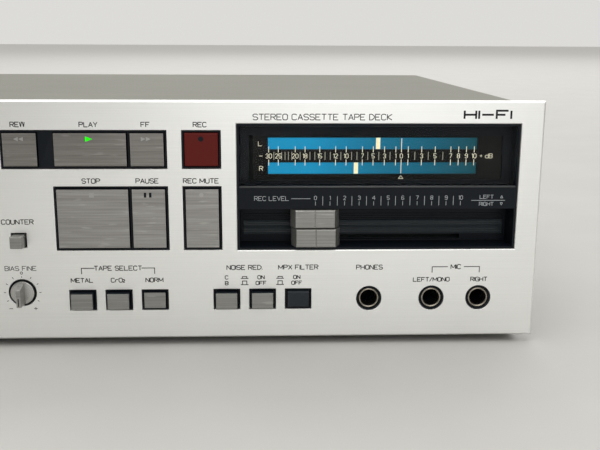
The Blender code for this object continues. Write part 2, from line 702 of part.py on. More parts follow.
def meter():
    """Scale plate with its two slots, the lit body behind it and the two pointers."""
    scale_front = MASK_FRONT + MASK_THICKNESS + GAP
    scale_back = scale_front + SCALE_THICKNESS
    spread_x = (WINDOW_LEFT + 6.5, WINDOW_RIGHT - 4.5)
    spread_z = (strip_top + 1.2, window_top - 5.0)
    bands = (left_band_z, right_band_z)
    scale = piece("meter_scale", "black_plastic", box(spread_x, (scale_front, scale_back), spread_z))
    cut(scale, *[box((BAND_LEFT, BAND_RIGHT), (scale_front - 1.0, scale_back + 1.0), (z, z + BAND_HEIGHT))
                 for z in bands])
    body_front = scale_back + GAP
    floor = body_front + POINTER_THICKNESS + 2 * GAP
    body = piece("meter_body", "meter_light",
                 box(spread_x, (body_front, body_front + METER_DEPTH), spread_z))
    cut(body, box(grown(spread_x, -1.2), (body_front - 1.0, floor), grown(spread_z, -1.0)))
    middle = (left_band_z + right_band_z + BAND_HEIGHT) / 2
    tail_zs = (middle + 1.6, middle - 1.6)
    cut(body, *[box(grown((BAND_LEFT, BAND_RIGHT), 2.6), (floor - 0.2, floor + 6.0), about(z, 0.8))
                for z in tail_zs])
    flag_front = body_front + GAP
    flag_back = flag_front + POINTER_THICKNESS
    flags = [("left_meter_pointer", LEFT_POINTER_X, (tail_zs[0] - 0.5, left_band_z + BAND_HEIGHT + 0.3)),
             ("right_meter_pointer", RIGHT_POINTER_X, (right_band_z - 0.3, tail_zs[1] + 0.5))]
    for (name, x, span), tail in zip(flags, tail_zs):
        flag_x, tail_x, tail_z = about(x, POINTER_WIDTH / 2), about(x, 1.8), about(tail, 0.5)
        pointer = piece(name, "pointer_cream", box(flag_x, (flag_front, flag_back), span),
                        origin=(x, flag_front, tail))
        fuse(pointer, box(tail_x, (flag_back - 0.2, floor + 4.0), tail_z))


def level_controls():
    """Slide potentiometers and the two knobs that run in the channel."""
    front = BEZEL_DEPTH + GAP
    above, below = level_heights()
    lever_above, lever_below = lever_heights()
    travel = (LEVEL_X - LEVER_WIDTH / 2 - 1.0, LEVEL_X + LEVEL_TRAVEL + LEVER_WIDTH / 2 + 1.0)
    pots = piece("level_slide_pots", "zinc_steel",
                 box(grown(travel, 8.0), (front, front + 11.0), (WINDOW_BOTTOM, channel_top + 1.0)))
    cut(pots, *[box(travel, (front - 1.0, front + 8.0), about(z, LEVER_HEIGHT / 2 + SLIP))
                for z in (lever_above, lever_below)])
    knobs = [("left_level_knob", LEVEL_X, above, lever_above),
             ("right_level_knob", LEVEL_X + LEVEL_OFFSET, below, lever_below)]
    for name, x, z, lever_z in knobs:
        tall = about(z, LEVEL_HEIGHT / 2)
        slope_end, heel, tip = 3.2, 6.0, front + 6.0
        knob = piece(name, "key_metal", stepped(
            (-LEVEL_PROUD, about(x, LEVEL_FACE / 2), grown(tall, -0.35)),
            (0.35 - LEVEL_PROUD, about(x, LEVEL_FACE / 2 + 0.15), tall),
            (slope_end, about(x, LEVEL_BASE / 2), tall),
            (heel, about(x, LEVEL_BASE / 2), tall),
            (heel, about(x, LEVER_WIDTH / 2), about(lever_z, LEVER_HEIGHT / 2)),
            (tip, about(x, LEVER_WIDTH / 2), about(lever_z, LEVER_HEIGHT / 2))),
            origin=(x, -LEVEL_PROUD, z))
        cut(knob, box(about(x, 0.25), (-LEVEL_PROUD - 1.0, 0.5 - LEVEL_PROUD), grown(tall, 1.0)))


# ---------------------------------------------------------------- cassette well
def door():
    """The cassette door with its smoked window and the holder behind it."""
    hinge = (WELL_X, PIVOT_Y, PIVOT_Z)
    c = PANEL_CHAMFER / 2
    span_x = about(WELL_X, DOOR_WIDTH / 2)
    plate = piece("cassette_door", "brushed_aluminium", stepped(
        (0.0, grown(span_x, -c), (DOOR_BOTTOM + c, DOOR_TOP - c)),
        (c, span_x, (DOOR_BOTTOM, DOOR_TOP)),
        (DOOR_THICKNESS, span_x, (DOOR_BOTTOM, DOOR_TOP))), origin=hinge)
    hole_x, hole_z = about(WELL_X, DOOR_WINDOW_WIDTH / 2), (DOOR_WINDOW_BOTTOM, DOOR_WINDOW_TOP)
    cut(plate, box(hole_x, (-1.0, DOOR_THICKNESS + 1.0), hole_z))
    glass_x, glass_z = grown(hole_x, -GAP), grown(hole_z, -GAP)
    lip = DOOR_THICKNESS + GAP
    rim_x, rim_z = grown(glass_x, 2.5), grown(glass_z, 2.5)
    piece("door_window", "smoked_glass", stepped(
        (0.4, glass_x, glass_z), (lip, glass_x, glass_z),
        (lip, rim_x, rim_z), (lip + DOOR_GLASS, rim_x, rim_z)), origin=hinge)
    front = holder_front
    inner = CASSETTE_WIDTH / 2 + CASSETTE_PLAY
    outer = inner + HOLDER_WALL
    back = pocket_back + HOLDER_BACK
    guide_top = SHELF_Z + CASSETTE_HEIGHT
    bar = piece("cassette_holder", "black_plastic",
                box(about(WELL_X, outer), (front, pocket_front), (SHELF_Z - 5.0, DOOR_WINDOW_BOTTOM - 4.0)),
                origin=hinge)
    walls = []
    pins = []
    for side in (-1, 1):
        def pair(near, far):
            return tuple(sorted((WELL_X + side * near, WELL_X + side * far)))
        walls.append(prism([(WELL_X + side * u, v) for u, v in (
            (outer, front), (outer, back), (inner - 4.0, back),
            (inner - 4.0, pocket_back), (inner, pocket_back), (inner, pocket_front),
            (inner - 4.0, pocket_front), (inner - 4.0, front))], "Z", SHELF_Z - 1.7, guide_top))
        pins.append(turned("X", (PIVOT_Y, PIVOT_Z),
                           [(PIVOT_PIN, end) for end in pair(outer - 1.0, outer + 7.0)], 16))
    fuse(bar, *walls)
    fuse(bar, *[box(tuple(sorted((WELL_X + side * 35.0, WELL_X + side * (inner + 0.5)))),
                    (pocket_front - 0.5, pocket_back + 0.6), (SHELF_Z - 1.7, SHELF_Z - GAP))
                for side in (-1, 1)])
    fuse(bar, *pins)


def transport_plate():
    """The steel plate that carries the drive, with the ears in which the door turns."""
    half = CASSETTE_WIDTH / 2 + CASSETTE_PLAY + HOLDER_WALL + 8.0
    plate = piece("transport_plate", "zinc_steel",
                  box(about(WELL_X, half), (plate_front, plate_back), (floor_top + 3.0, inner_top - 1.0)))
    ears = []
    holes = []
    wall = CASSETTE_WIDTH / 2 + CASSETTE_PLAY + HOLDER_WALL + 3.5
    boss = PIVOT_PIN + 1.5
    for side in (-1, 1):
        x = tuple(sorted((WELL_X + side * wall, WELL_X + side * (wall + 1.5))))
        arc = [(PIVOT_Y - boss * math.cos(math.radians(a)), PIVOT_Z + boss * math.sin(math.radians(a)))
               for a in range(-90, 91, 30)]
        ears.append(prism(arc + [(plate_front + 0.5, PIVOT_Z + boss), (plate_front + 0.5, PIVOT_Z - boss)],
                          "X", *x))
        holes.append(turned("X", (PIVOT_Y, PIVOT_Z), [(PIVOT_PIN + SLIP, end) for end in grown(x, 1.0)], 16))
    fuse(plate, *ears)
    for centre, radius in (((WELL_X - HUB_SPACING / 2, hub_z), 2.6), ((WELL_X + HUB_SPACING / 2, hub_z), 2.6),
                           ((capstan_x, capstan_z), CAPSTAN_RADIUS + 1.0)):
        holes.append(turned("Y", centre, [(radius, plate_front - 0.4), (radius, plate_back + 1.0)]))
    cut(plate, *holes)


def spindles():
    """Supply and take-up spindles: toothed hub, turntable and shaft."""
    sides = 24
    table = plate_front - 0.6
    tip = table - 13.0
    for name, side in (("supply_spindle", -1), ("takeup_spindle", 1)):
        centre = (WELL_X + side * HUB_SPACING / 2, hub_z)
        rings = [circle("Y", centre, 1.8, tip, sides)]
        rings += [circle("Y", centre, 3.5, at, sides, 3, 1.0) for at in (tip + 2.0, table - 2.4)]
        rings += [circle("Y", centre, radius, at, sides)
                  for radius, at in ((4.8, table - 2.4), (11.0, table - 2.2), (11.0, table),
                                     (2.0, table), (2.0, plate_back + 6.0))]
        piece(name, "spindle_grey", loft(rings), origin=(centre[0], table, centre[1]), smooth=True)


def capstan():
    """Capstan shaft and flywheel, the motor with its pulley, and the belt between them."""
    rim_front, rim_back = flywheel_front, flywheel_front + FLYWHEEL_WIDTH
    piece("capstan_flywheel", "polished_steel",
          turned("Y", (capstan_x, capstan_z),
                 [(CAPSTAN_RADIUS, plate_front - 13.0), (CAPSTAN_RADIUS, plate_back + 3.0),
                  (5.0, plate_back + 3.0), (5.0, rim_front), (FLYWHEEL_RADIUS, rim_front),
                  (FLYWHEEL_RADIUS, rim_back), (3.0, rim_back), (3.0, rim_back + 4.0)], 48),
          origin=(capstan_x, rim_front, capstan_z), smooth=True)
    motor_x = WELL_X + MOTOR_OFFSET
    piece("capstan_motor", "polished_steel",
          turned("Y", (motor_x, capstan_z),
                 [(PULLEY_RADIUS, rim_front + 1.0), (PULLEY_RADIUS, rim_back - 1.0),
                  (1.5, rim_back - 1.0), (1.5, rim_back + 3.0),
                  (MOTOR_RADIUS, rim_back + 3.0), (MOTOR_RADIUS, rim_back + 29.0)], 32),
          smooth=True)
    run = capstan_x - motor_x
    lean = math.acos((FLYWHEEL_RADIUS - PULLEY_RADIUS) / run)

    def loop(grow):
        """The belt's line: round the flywheel's near side and round the pulley's far side."""
        points = []
        wraps = ((capstan_x, FLYWHEEL_RADIUS + grow, lean - math.pi, math.pi - lean, 20),
                 (motor_x, PULLEY_RADIUS + grow, math.pi - lean, math.pi + lean, 8))
        for x, radius, start, end, steps in wraps:
            for i in range(steps + 1):
                angle = start + (end - start) * i / steps
                points.append((x + radius * math.cos(angle), capstan_z + radius * math.sin(angle)))
        return points

    def belt_ring(grow, y):
        return [(x, y, z) for x, z in loop(grow)]

    low, high = rim_front + 2.0, rim_back - 2.0
    near, far = 0.4, 1.2
    piece("drive_belt", "rubber_black",
          loft([belt_ring(near, low), belt_ring(far, low), belt_ring(far, high), belt_ring(near, high)],
               closed=True))


def heads():
    """The sliding carriage with the erase head and the record and play head."""
    back = plate_front - 0.5
    front = plate_front - 11.6
    low = floor_top + 3.0
    carriage = piece("head_carriage", "zinc_steel",
                     box((WELL_X - 31.0, WELL_X + 14.0), (back - 1.6, back), (low, low + 12.0)),
                     origin=(WELL_X, back, low))
    fuse(carriage, box((WELL_X - 31.0, WELL_X + 14.0), (front, back - 0.5), (low, low + 2.0)))
    fuse(carriage,
         box(about(WELL_X - 23.0, 3.5), (front, front + 6.0), (low + 1.0, SHELF_Z - 3.0)),
         box(about(WELL_X, 6.0), (front, front + 6.0), (low + 1.0, SHELF_Z - 3.0)))


def pinch():
    """The swinging arm and the rubber roller that presses the tape on the capstan."""
    roller_z = capstan_z - PINCH_DROP
    pivot_x, pivot_z = capstan_x + PINCH_ARM, roller_z - PINCH_FALL
    arm_back = plate_front - 2.6
    arm_front = arm_back - 2.0
    half = 3.0
    arm = piece("pinch_arm", "zinc_steel",
                prism([(capstan_x - half, roller_z - half), (capstan_x + half, roller_z - half),
                       (pivot_x + half, pivot_z - half), (pivot_x + half, pivot_z + half),
                       (capstan_x + half, roller_z + half), (capstan_x - half, roller_z + half)],
                      "Y", arm_front, arm_back), origin=(pivot_x, arm_back, pivot_z))
    roller_back = arm_front - 0.4
    roller_front = roller_back - 6.0
    fuse(arm, turned("Y", (capstan_x, roller_z), [(1.0, roller_front), (1.0, arm_back - 0.5)], 16))
    bore = 1.0 + SLIP
    piece("pinch_roller", "rubber_black",
          sleeve("Y", (capstan_x, roller_z), [(PINCH_RADIUS, roller_front), (PINCH_RADIUS, roller_back),
                                              (bore, roller_back), (bore, roller_front)], 32),
          origin=(capstan_x, roller_back, roller_z), smooth=True)


# ---------------------------------------------------------------- case
def case():
    """Folded cover, tray and rear panel, and the four feet."""
    top, low = case_top, 1.0
    vent_lefts = [VENT_LEFT + VENT_PITCH * i for i in range(VENT_COUNT)]
    cover = piece("top_cover", "cover_paint", prism(
        [(-case_half, low), (-case_half, top), (case_half, top), (case_half, low),
         (case_half - SHEET, low), (case_half - SHEET, top - SHEET),
         (SHEET - case_half, top - SHEET), (SHEET - case_half, low)],
        "Y", PANEL_THICKNESS + GAP, CASE_DEPTH))
    slots = []
    for x in vent_lefts:
        slots.append(box((x, x + VENT_WIDTH), (CASE_DEPTH - 68.0, CASE_DEPTH - 28.0), (top - 3.0, top + 1.0)))
    cut(cover, *slots)
    half = case_half - SHEET - GAP
    tray_front = subframe_back + GAP
    tray_back = rear_sheet - GAP
    bottom = floor_top - SHEET
    tray = piece("chassis_tray", "zinc_steel", box(about(0.0, half), (tray_front, tray_back), (bottom, 18.0)))
    cut(tray, box(about(0.0, half - SHEET), (tray_front + SHEET, tray_back - SHEET), (floor_top, 19.0)))
    cut(tray, box(about(0.0, half - SHEET), (tray_front - 1.0, tray_front + 2.0), (floor_top + 1.4, 19.0)),
        box(about(0.0, half - SHEET), (tray_back - 2.0, tray_back + 1.0), (floor_top + 2.0, 19.0)))
    cut(tray, *[box((x, x + VENT_WIDTH), (CASE_DEPTH - 121.0, CASE_DEPTH - 91.0), (-1.0, 3.0))
                for x in vent_lefts])
    rear = piece("rear_panel", "zinc_steel",
                 box(about(0.0, half), (rear_sheet, rear_sheet + SHEET), (bottom, inner_top)))
    cut(rear, box(about(SOCKET_X, SOCKET_PITCH + 3.0), (rear_sheet - 1.0, rear_sheet + 2.0),
                  about(SOCKET_Z, SOCKET_PITCH + 1.0)),
        box(about(INLET_X, 10.0), (rear_sheet - 1.0, rear_sheet + 2.0), about(INLET_Z, 6.0)))
    for row, y in (("front", FOOT_FRONT), ("rear", CASE_DEPTH - FOOT_REAR_INSET)):
        for side, x in (("left", -FOOT_SPACING / 2), ("right", FOOT_SPACING / 2)):
            piece(f"foot_{row}_{side}", "rubber_black",
                  turned("Z", (x, y),
                         [(FOOT_RADIUS - 3.0, -FOOT_HEIGHT), (FOOT_RADIUS - 1.5, 1.2 - FOOT_HEIGHT),
                          (FOOT_RADIUS, bottom - GAP - 1.0), (FOOT_RADIUS, bottom - GAP)]),
                  smooth=True)


def rear_sockets():
    """The block of four line sockets and the two-pin mains inlet."""
    sheet_back = rear_sheet + SHEET
    flange = (sheet_back + GAP, sheet_back + GAP + 2.0)
    throat = SOCKET_PITCH + 3.0 - GAP
    throat_x, throat_z = about(SOCKET_X, throat), about(SOCKET_Z, throat - 2.0)
    flange_x, flange_z = about(SOCKET_X, throat + 3.0), about(SOCKET_Z, throat + 1.0)
    block = piece("line_socket_block", "black_plastic", stepped(
        (rear_sheet - 8.0, throat_x, throat_z), (flange[0], throat_x, throat_z),
        (flange[0], flange_x, flange_z), (flange[1], flange_x, flange_z)))
    barrels = []
    bores = []
    for i in (-0.5, 0.5):
        for j in (-0.5, 0.5):
            centre = (SOCKET_X + i * SOCKET_PITCH, SOCKET_Z + j * SOCKET_PITCH)
            tip = flange[1] + SOCKET_REACH
            barrels.append(turned("Y", centre, [(SOCKET_BARREL, flange[1] - 0.5), (SOCKET_BARREL, tip)]))
            bores.append(turned("Y", centre, [(SOCKET_BORE, flange[0]), (SOCKET_BORE, tip + 1.0)], 16))
    fuse(block, *barrels)
    cut(block, *bores)
    inlet_x, inlet_z = about(INLET_X, 10.0 - GAP), about(INLET_Z, 6.0 - GAP)
    inlet = piece("mains_inlet", "black_plastic", stepped(
        (rear_sheet - 16.0, inlet_x, inlet_z), (flange[0], inlet_x, inlet_z),
        (flange[0], grown(inlet_x, 3.0), grown(inlet_z, 2.0)),
        (flange[1], grown(inlet_x, 3.0), grown(inlet_z, 2.0))))
    round_end, half = 3.9, 3.9
    outline = []
    for side in (1, -1):
        for a in range(-90, 91, 30):
            angle = math.radians(a)
            outline.append((INLET_X + side * (half + round_end * math.cos(angle)),
                            INLET_Z + side * round_end * math.sin(angle)))
    cut(inlet, prism(outline, "Y", rear_sheet - 12.0, flange[1] + 1.0))
    fuse(inlet, *[turned("Y", (INLET_X + side * 4.3, INLET_Z),
                         [(1.2, rear_sheet - 13.0), (1.2, rear_sheet - 2.0)], 12) for side in (-1, 1)])


def inside():
    """Main circuit board with its larger components, and the mains transformer."""
    board_low = 9.0
    board_back = rear_sheet - 19.5
    board = piece("main_board", "circuit_board",
                  box((-40.0, inner_half - 13.1), (75.0, board_back),
                      (board_low, board_low + BOARD_THICKNESS)))
    top = board_low + 1.0
    parts = [turned("Z", (x, board_back - inset), [(radius, top), (radius, top + tall)], 16)
             for x, inset, radius, tall in ((-20.0, 25.0, 9.0, 30.0), (4.0, 25.0, 9.0, 30.0),
                                            (28.0, 22.0, 6.0, 22.0), (48.0, 22.0, 6.0, 22.0))]
    parts += [box(about(x, 9.0), about(y, 4.0), (top, top + 5.0))
              for x in (0.0, 50.0, 100.0, 150.0) for y in (110.0, 160.0)]
    fuse(board, *parts)
    core_x, core_y = about(-150.0, 24.0), about(rear_sheet - 53.5, 20.0)
    coil = piece("power_transformer", "iron_core", box(core_x, core_y, (floor_top + GAP, floor_top + 42.0)))
    fuse(coil, box(grown(core_x, -9.0), grown(core_y, 9.0), (floor_top + 7.0, floor_top + 35.0)))


front_panel()
front_subframe()
keys()
push_buttons()
switch_bank()
bias_knob()
front_board()
jacks()
counter()
meter_bezel()
meter_glass()
meter()
level_controls()
door()
transport_plate()
spindles()
capstan()
heads()
pinch()
case()
rear_sockets()
inside()
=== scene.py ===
# %% [markdown]
# # A stereo cassette deck, from working model to finished looks
# The working model already has every panel, key, knob and wheel at its real size, and each moving part rides
# on its own body. This lesson gives those parts the surfaces of the real deck: brushed metal, painted steel,
# moulded plastic, printing, glass and light.
# %% Load the working model
import json
import math

import bmesh
import bpy
import numpy as np
from mathutils import Matrix, Vector


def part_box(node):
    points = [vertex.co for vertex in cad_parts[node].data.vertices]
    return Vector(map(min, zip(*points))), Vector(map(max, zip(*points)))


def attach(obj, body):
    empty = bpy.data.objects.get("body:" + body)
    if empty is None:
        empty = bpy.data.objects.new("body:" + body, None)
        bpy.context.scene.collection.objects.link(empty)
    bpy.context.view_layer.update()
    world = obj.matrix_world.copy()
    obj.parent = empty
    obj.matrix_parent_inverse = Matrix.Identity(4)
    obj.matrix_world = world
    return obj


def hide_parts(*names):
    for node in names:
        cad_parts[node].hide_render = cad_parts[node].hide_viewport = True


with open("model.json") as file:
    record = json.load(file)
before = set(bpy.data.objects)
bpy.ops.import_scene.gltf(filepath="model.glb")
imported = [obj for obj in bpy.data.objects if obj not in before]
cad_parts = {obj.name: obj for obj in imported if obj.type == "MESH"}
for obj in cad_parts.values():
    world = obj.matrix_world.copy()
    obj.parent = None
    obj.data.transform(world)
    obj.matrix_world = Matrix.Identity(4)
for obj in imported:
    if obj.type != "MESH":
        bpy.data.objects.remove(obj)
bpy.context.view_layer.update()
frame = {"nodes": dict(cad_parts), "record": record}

# %% [markdown]
# ## Places
# Sizes are thought of in millimetres, counted from the middle of the front panel's lower edge: x to the right,
# y back from the panel's face, z up. A piece that replaces one of the model's own takes its place from that
# one's box, so it always lands where that one was. Printing and small details have places of their own.
# %% Millimetres on the panel
MM = 0.001
nodes = frame["nodes"]
BODY_OF = {node: body for body, members in frame["record"]["behaviour"]["bodies"].items() for node in members}
panel_low, panel_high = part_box("front_panel")
ORIGIN = np.array([(panel_low.x + panel_high.x) / 2, panel_low.y, panel_low.z])


def span(node):
    """A node's low and high corners in panel millimetres: the box less the origin, over a thousandth."""
    low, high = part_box(node)
    return (np.array(low) - ORIGIN) / MM, (np.array(high) - ORIGIN) / MM


def centre(node):
    """The middle of a node's box, in panel millimetres."""
    low, high = span(node)
    return (low + high) / 2


panel_size = (panel_high - panel_low) / MM
print(f"the panel is {panel_size.x:.1f} mm wide and {panel_size.z:.1f} mm high")

# %% [markdown]
# ## Shader helpers
# A finish is a small network of nodes. One helper adds a node and fills its sockets, either with plain values or
# with another node's output, so that a material reads from top to bottom like a recipe.
# %% Nodes, groups and materials
def fill(tree, made, values):
    """Each value put into its socket, or wired to it where it is another node's output."""
    for socket, value in values.items():
        if isinstance(value, bpy.types.NodeSocket):
            tree.links.new(value, made.inputs[socket])
        else:
            made.inputs[socket].default_value = value


def add(tree, kind, values=None, **settings):
    """A shader node with its settings and its sockets filled."""
    made = tree.nodes.new("ShaderNode" + kind)
    for name, value in settings.items():
        setattr(made, name, value)
    fill(tree, made, values or {})
    return made


def new_group(name, inputs, outputs):
    """A node group with its input and output nodes; inputs are (name, kind, value), outputs (name, kind)."""
    group = bpy.data.node_groups.new(name, "ShaderNodeTree")
    for label, kind, value in inputs:
        socket = group.interface.new_socket(label, in_out="INPUT", socket_type="NodeSocket" + kind)
        if value is not None:
            socket.default_value = value
    for label, kind in outputs:
        group.interface.new_socket(label, in_out="OUTPUT", socket_type="NodeSocket" + kind)
    return group, group.nodes.new("NodeGroupInput").outputs, group.nodes.new("NodeGroupOutput").inputs


def place_group(tree, group, values):
    """One use of a node group in a material, with its own values."""
    made = tree.nodes.new("ShaderNodeGroup")
    made.node_tree = group
    fill(tree, made, values)
    return made.outputs


FINISHES = {}


def new_finish(name, slot=None, **constants):
    """A material whose shader carries the constants; gives its tree, shader and Object coordinates."""
    material = bpy.data.materials.new(name)
    material.use_nodes = True
    tree = material.node_tree
    shader = tree.nodes["Principled BSDF"]
    for socket, value in constants.items():
        shader.inputs[socket.replace("_", " ")].default_value = value
    FINISHES[name] = material
    return tree, shader, tree.nodes.new("ShaderNodeTexCoord").outputs["Object"]


def blended(tree, factor, low, high):
    """The colour that is low where factor is 0 and high where it is 1."""
    mix = add(tree, "Mix", {0: factor, 6: (*low, 1.0), 7: (*high, 1.0)}, data_type="RGBA")
    return mix.outputs[2]


def towards(tree, colour, other, mask, strength):
    """A colour moved towards another by the mask times a strength."""
    share = add(tree, "Math", {0: mask, 1: strength}, operation="MULTIPLY").outputs[0]
    return add(tree, "Mix", {0: share, 6: colour, 7: (*other, 1.0)}, data_type="RGBA").outputs[2]


def ranged(tree, value, low, high, start=0.0, end=1.0):
    """A value carried from start..end to low..high, held at the ends."""
    return add(tree, "MapRange", {0: value, 1: start, 2: end, 3: low, 4: high}).outputs[0]


# %% [markdown]
# ## Effects that several finishes share
# Brushing metal with abrasive leaves hair-fine grooves that all run one way, and every groove is long and thin.
# Noise gives the same picture when its space is squeezed along the stroke and stretched across it. Paint and
# moulded plastic have the opposite grain, equal in every direction. Handling leaves soft cloudy patches, and an
# edge that hands and cloths pass over grows a little brighter than the face beside it.
# %% Brushed grain
def brushed_grain_group():
    """Noise at (x / length, y / width, z / width): streaks are broad strokes, hairs the fine ones on them."""
    group, given, out = new_group(
        "brushed grain",
        [("Vector", "Vector", None), ("Stroke", "Float", 25.0), ("Lines", "Float", 900.0)],
        [("Streaks", "Float"), ("Hairs", "Float"), ("Strikes", "Float")])
    stretch = add(group, "CombineXYZ", {0: given["Stroke"], 1: given["Lines"], 2: given["Lines"]}).outputs[0]
    squeezed = add(group, "VectorMath", {0: given["Vector"], 1: stretch}, operation="MULTIPLY").outputs[0]
    broad = add(group, "TexNoise", {"Vector": squeezed, "Scale": 1.0, "Detail": 3.0, "Roughness": 0.6})
    finer = add(group, "VectorMath", {0: squeezed, 1: (2.0, 3.7, 3.7)}, operation="MULTIPLY").outputs[0]
    fine = add(group, "TexNoise", {"Vector": finer, "Scale": 1.0, "Detail": 2.0})
    struck = add(group, "VectorMath", {0: squeezed, 1: (4.0, 0.55, 0.55)}, operation="MULTIPLY").outputs[0]
    marks = add(group, "TexNoise", {"Vector": struck, "Scale": 1.0, "Detail": 1.0})
    group.links.new(ranged(group, broad.outputs[0], 0.0, 1.0, 0.3, 0.7), out["Streaks"])
    group.links.new(fine.outputs[0], out["Hairs"])
    group.links.new(ranged(group, marks.outputs[0], 0.0, 1.0, 0.62, 0.74), out["Strikes"])
    return group


# %% Fine texture, handling and worn edges
def fine_texture_group():
    """Even noise: Height for a bump, Tone for a slight change of colour over a larger distance."""
    group, given, out = new_group(
        "fine texture", [("Vector", "Vector", None), ("Scale", "Float", 1800.0)],
        [("Height", "Float"), ("Tone", "Float")])
    small = add(group, "TexNoise", {"Vector": given["Vector"], "Scale": given["Scale"], "Detail": 2.0})
    large = add(group, "TexNoise", {"Vector": given["Vector"], "Scale": 14.0, "Detail": 3.0})
    group.links.new(small.outputs[0], out["Height"])
    group.links.new(ranged(group, large.outputs[0], 0.0, 1.0, 0.35, 0.65), out["Tone"])
    return group


def handling_group():
    """Soft clouds of touch, and sparse dust: a cell pattern kept only near the middles of its cells."""
    group, given, out = new_group(
        "handling", [("Vector", "Vector", None), ("Dust", "Float", 0.02)],
        [("Smudge", "Float"), ("Specks", "Float")])
    clouds = add(group, "TexNoise", {"Vector": given["Vector"], "Scale": 22.0, "Detail": 4.0, "Distortion": 0.6})
    cells = add(group, "TexVoronoi", {"Vector": given["Vector"], "Scale": 420.0})
    near = add(group, "Math", {0: cells.outputs["Distance"], 1: given["Dust"]}, operation="LESS_THAN")
    group.links.new(ranged(group, clouds.outputs[0], 0.0, 1.0, 0.4, 0.7), out["Smudge"])
    group.links.new(near.outputs[0], out["Specks"])
    return group


def worn_edge_group():
    """One less the agreement of the true normal with a normal rounded over Reach: only an edge stands out."""
    group, given, out = new_group("worn edge", [("Reach", "Float", 0.0004)], [("Wear", "Float")])
    rounded = add(group, "Bevel", {"Radius": given["Reach"]}, samples=4).outputs[0]
    true = add(group, "NewGeometry").outputs["Normal"]
    agreement = add(group, "VectorMath", {0: rounded, 1: true}, operation="DOT_PRODUCT").outputs["Value"]
    group.links.new(ranged(group, agreement, 1.0, 0.0, 0.80, 0.985), out["Wear"])
    return group


BRUSHED = brushed_grain_group()
TEXTURE = fine_texture_group()
HANDLED = handling_group()
WORN = worn_edge_group()
print("shared effects:", ", ".join(group.name for group in bpy.data.node_groups))

# %% [markdown]
# ## Metal finishes
# The face plate is satin aluminium, brushed from side to side. The key caps are the same metal, anodised darker
# and brushed more coarsely, so that single bright strikes show. Both get their colour from the broad streaks,
# their roughness from the fine hairs and the handling, and a very shallow bump.
# %% Brushed aluminium, dark and light
def brushed_metal(name, dark, light, stroke, lines, rough, strike, bump, metallic=1.0, slot=None):
    """Base colour runs dark to light with the streaks, then towards white by the strikes."""
    tree, shader, place = new_finish(name, slot, Metallic=metallic)
    grain = place_group(tree, BRUSHED, {"Vector": place, "Stroke": stroke, "Lines": lines})
    touch = place_group(tree, HANDLED, {"Vector": place, "Dust": 0.0})
    worn = place_group(tree, WORN, {"Reach": 0.0003})
    base = blended(tree, grain["Streaks"], dark, light)
    bright = tuple(min(1.0, 1.45 * part + 0.05) for part in light)
    marked = towards(tree, base, bright, grain["Strikes"], strike)
    fine = ranged(tree, grain["Hairs"], rough - 0.06, rough + 0.06)
    relief = add(tree, "Bump", {"Height": grain["Hairs"], "Strength": bump, "Distance": 0.00005})
    fill(tree, shader, {
        "Base Color": towards(tree, marked, bright, worn["Wear"], 0.5),
        "Roughness": add(tree, "Math", {0: touch["Smudge"], 1: 0.05, 2: fine}, operation="MULTIPLY_ADD").outputs[0],
        "Normal": relief.outputs[0]})


# Name, dark, light, stroke, lines, roughness, strike, bump, and where they differ metallic and slot.
brushed_metal("brushed_aluminium", (0.895, 0.900, 0.882), (0.935, 0.940, 0.922), 14.0, 2300.0, 0.42, 0.05, 0.15)
brushed_metal("key_metal", (0.27, 0.262, 0.250), (0.40, 0.392, 0.375), 26.0, 1150.0, 0.36, 0.35, 0.5, 0.8)
# The top row of keys takes a darker copy of the key metal: painted shade for the dimmer reflection that row shows.
brushed_metal("upper_key_metal_painted_shade", (0.190, 0.180, 0.168), (0.285, 0.272, 0.255), 26.0, 1150.0, 0.36, 0.35, 0.5, 0.8,
              "key_metal")
brushed_metal("knob_metal", (0.24, 0.238, 0.224), (0.335, 0.332, 0.314), 26.0, 1500.0, 0.40, 0.3, 0.4, 0.75,
              "key_metal")
brushed_metal("zinc_steel", (0.42, 0.41, 0.38), (0.52, 0.51, 0.47), 40.0, 120.0, 0.38, 0.05, 0.1)
brushed_metal("polished_steel", (0.58, 0.58, 0.58), (0.64, 0.64, 0.64), 90.0, 900.0, 0.18, 0.05, 0.08)
brushed_metal("socket_metal", (0.30, 0.27, 0.22), (0.44, 0.40, 0.34), 300.0, 600.0, 0.26, 0.15, 0.1)


# %% [markdown]
# The bias knob's disc was turned on a lathe, so its hairs run in circles. A pattern that depends only on the
# distance from the knob's axis gives rings, whatever way the knob is set.
# %% Spun metal
def spun_metal(name, slot, middle, dark, light):
    """The grain is noise of one number, the distance from the axis: square root of x squared plus z squared."""
    tree, shader, place = new_finish(name, slot, Metallic=1.0, Anisotropic=0.3)
    flat = add(tree, "Mapping", {"Vector": place, "Location": (-middle[0], 0.0, -middle[2]),
                                 "Scale": (1.0, 0.0, 1.0)}).outputs[0]
    away = add(tree, "VectorMath", {0: flat}, operation="LENGTH").outputs["Value"]
    rings = add(tree, "TexNoise", {"W": away, "Scale": 5200.0, "Detail": 2.0}, noise_dimensions="1D").outputs[0]
    relief = add(tree, "Bump", {"Height": rings, "Strength": 0.35, "Distance": 0.00004})
    fill(tree, shader, {
        "Base Color": blended(tree, ranged(tree, rings, 0.0, 1.0, 0.3, 0.7), dark, light),
        "Roughness": ranged(tree, rings, 0.24, 0.36), "Normal": relief.outputs[0]})


spun_metal("spun_disc", "key_metal", ORIGIN + centre("bias_knob") * MM, (0.40, 0.40, 0.385), (0.60, 0.595, 0.575))
print(len(FINISHES), "metal finishes")


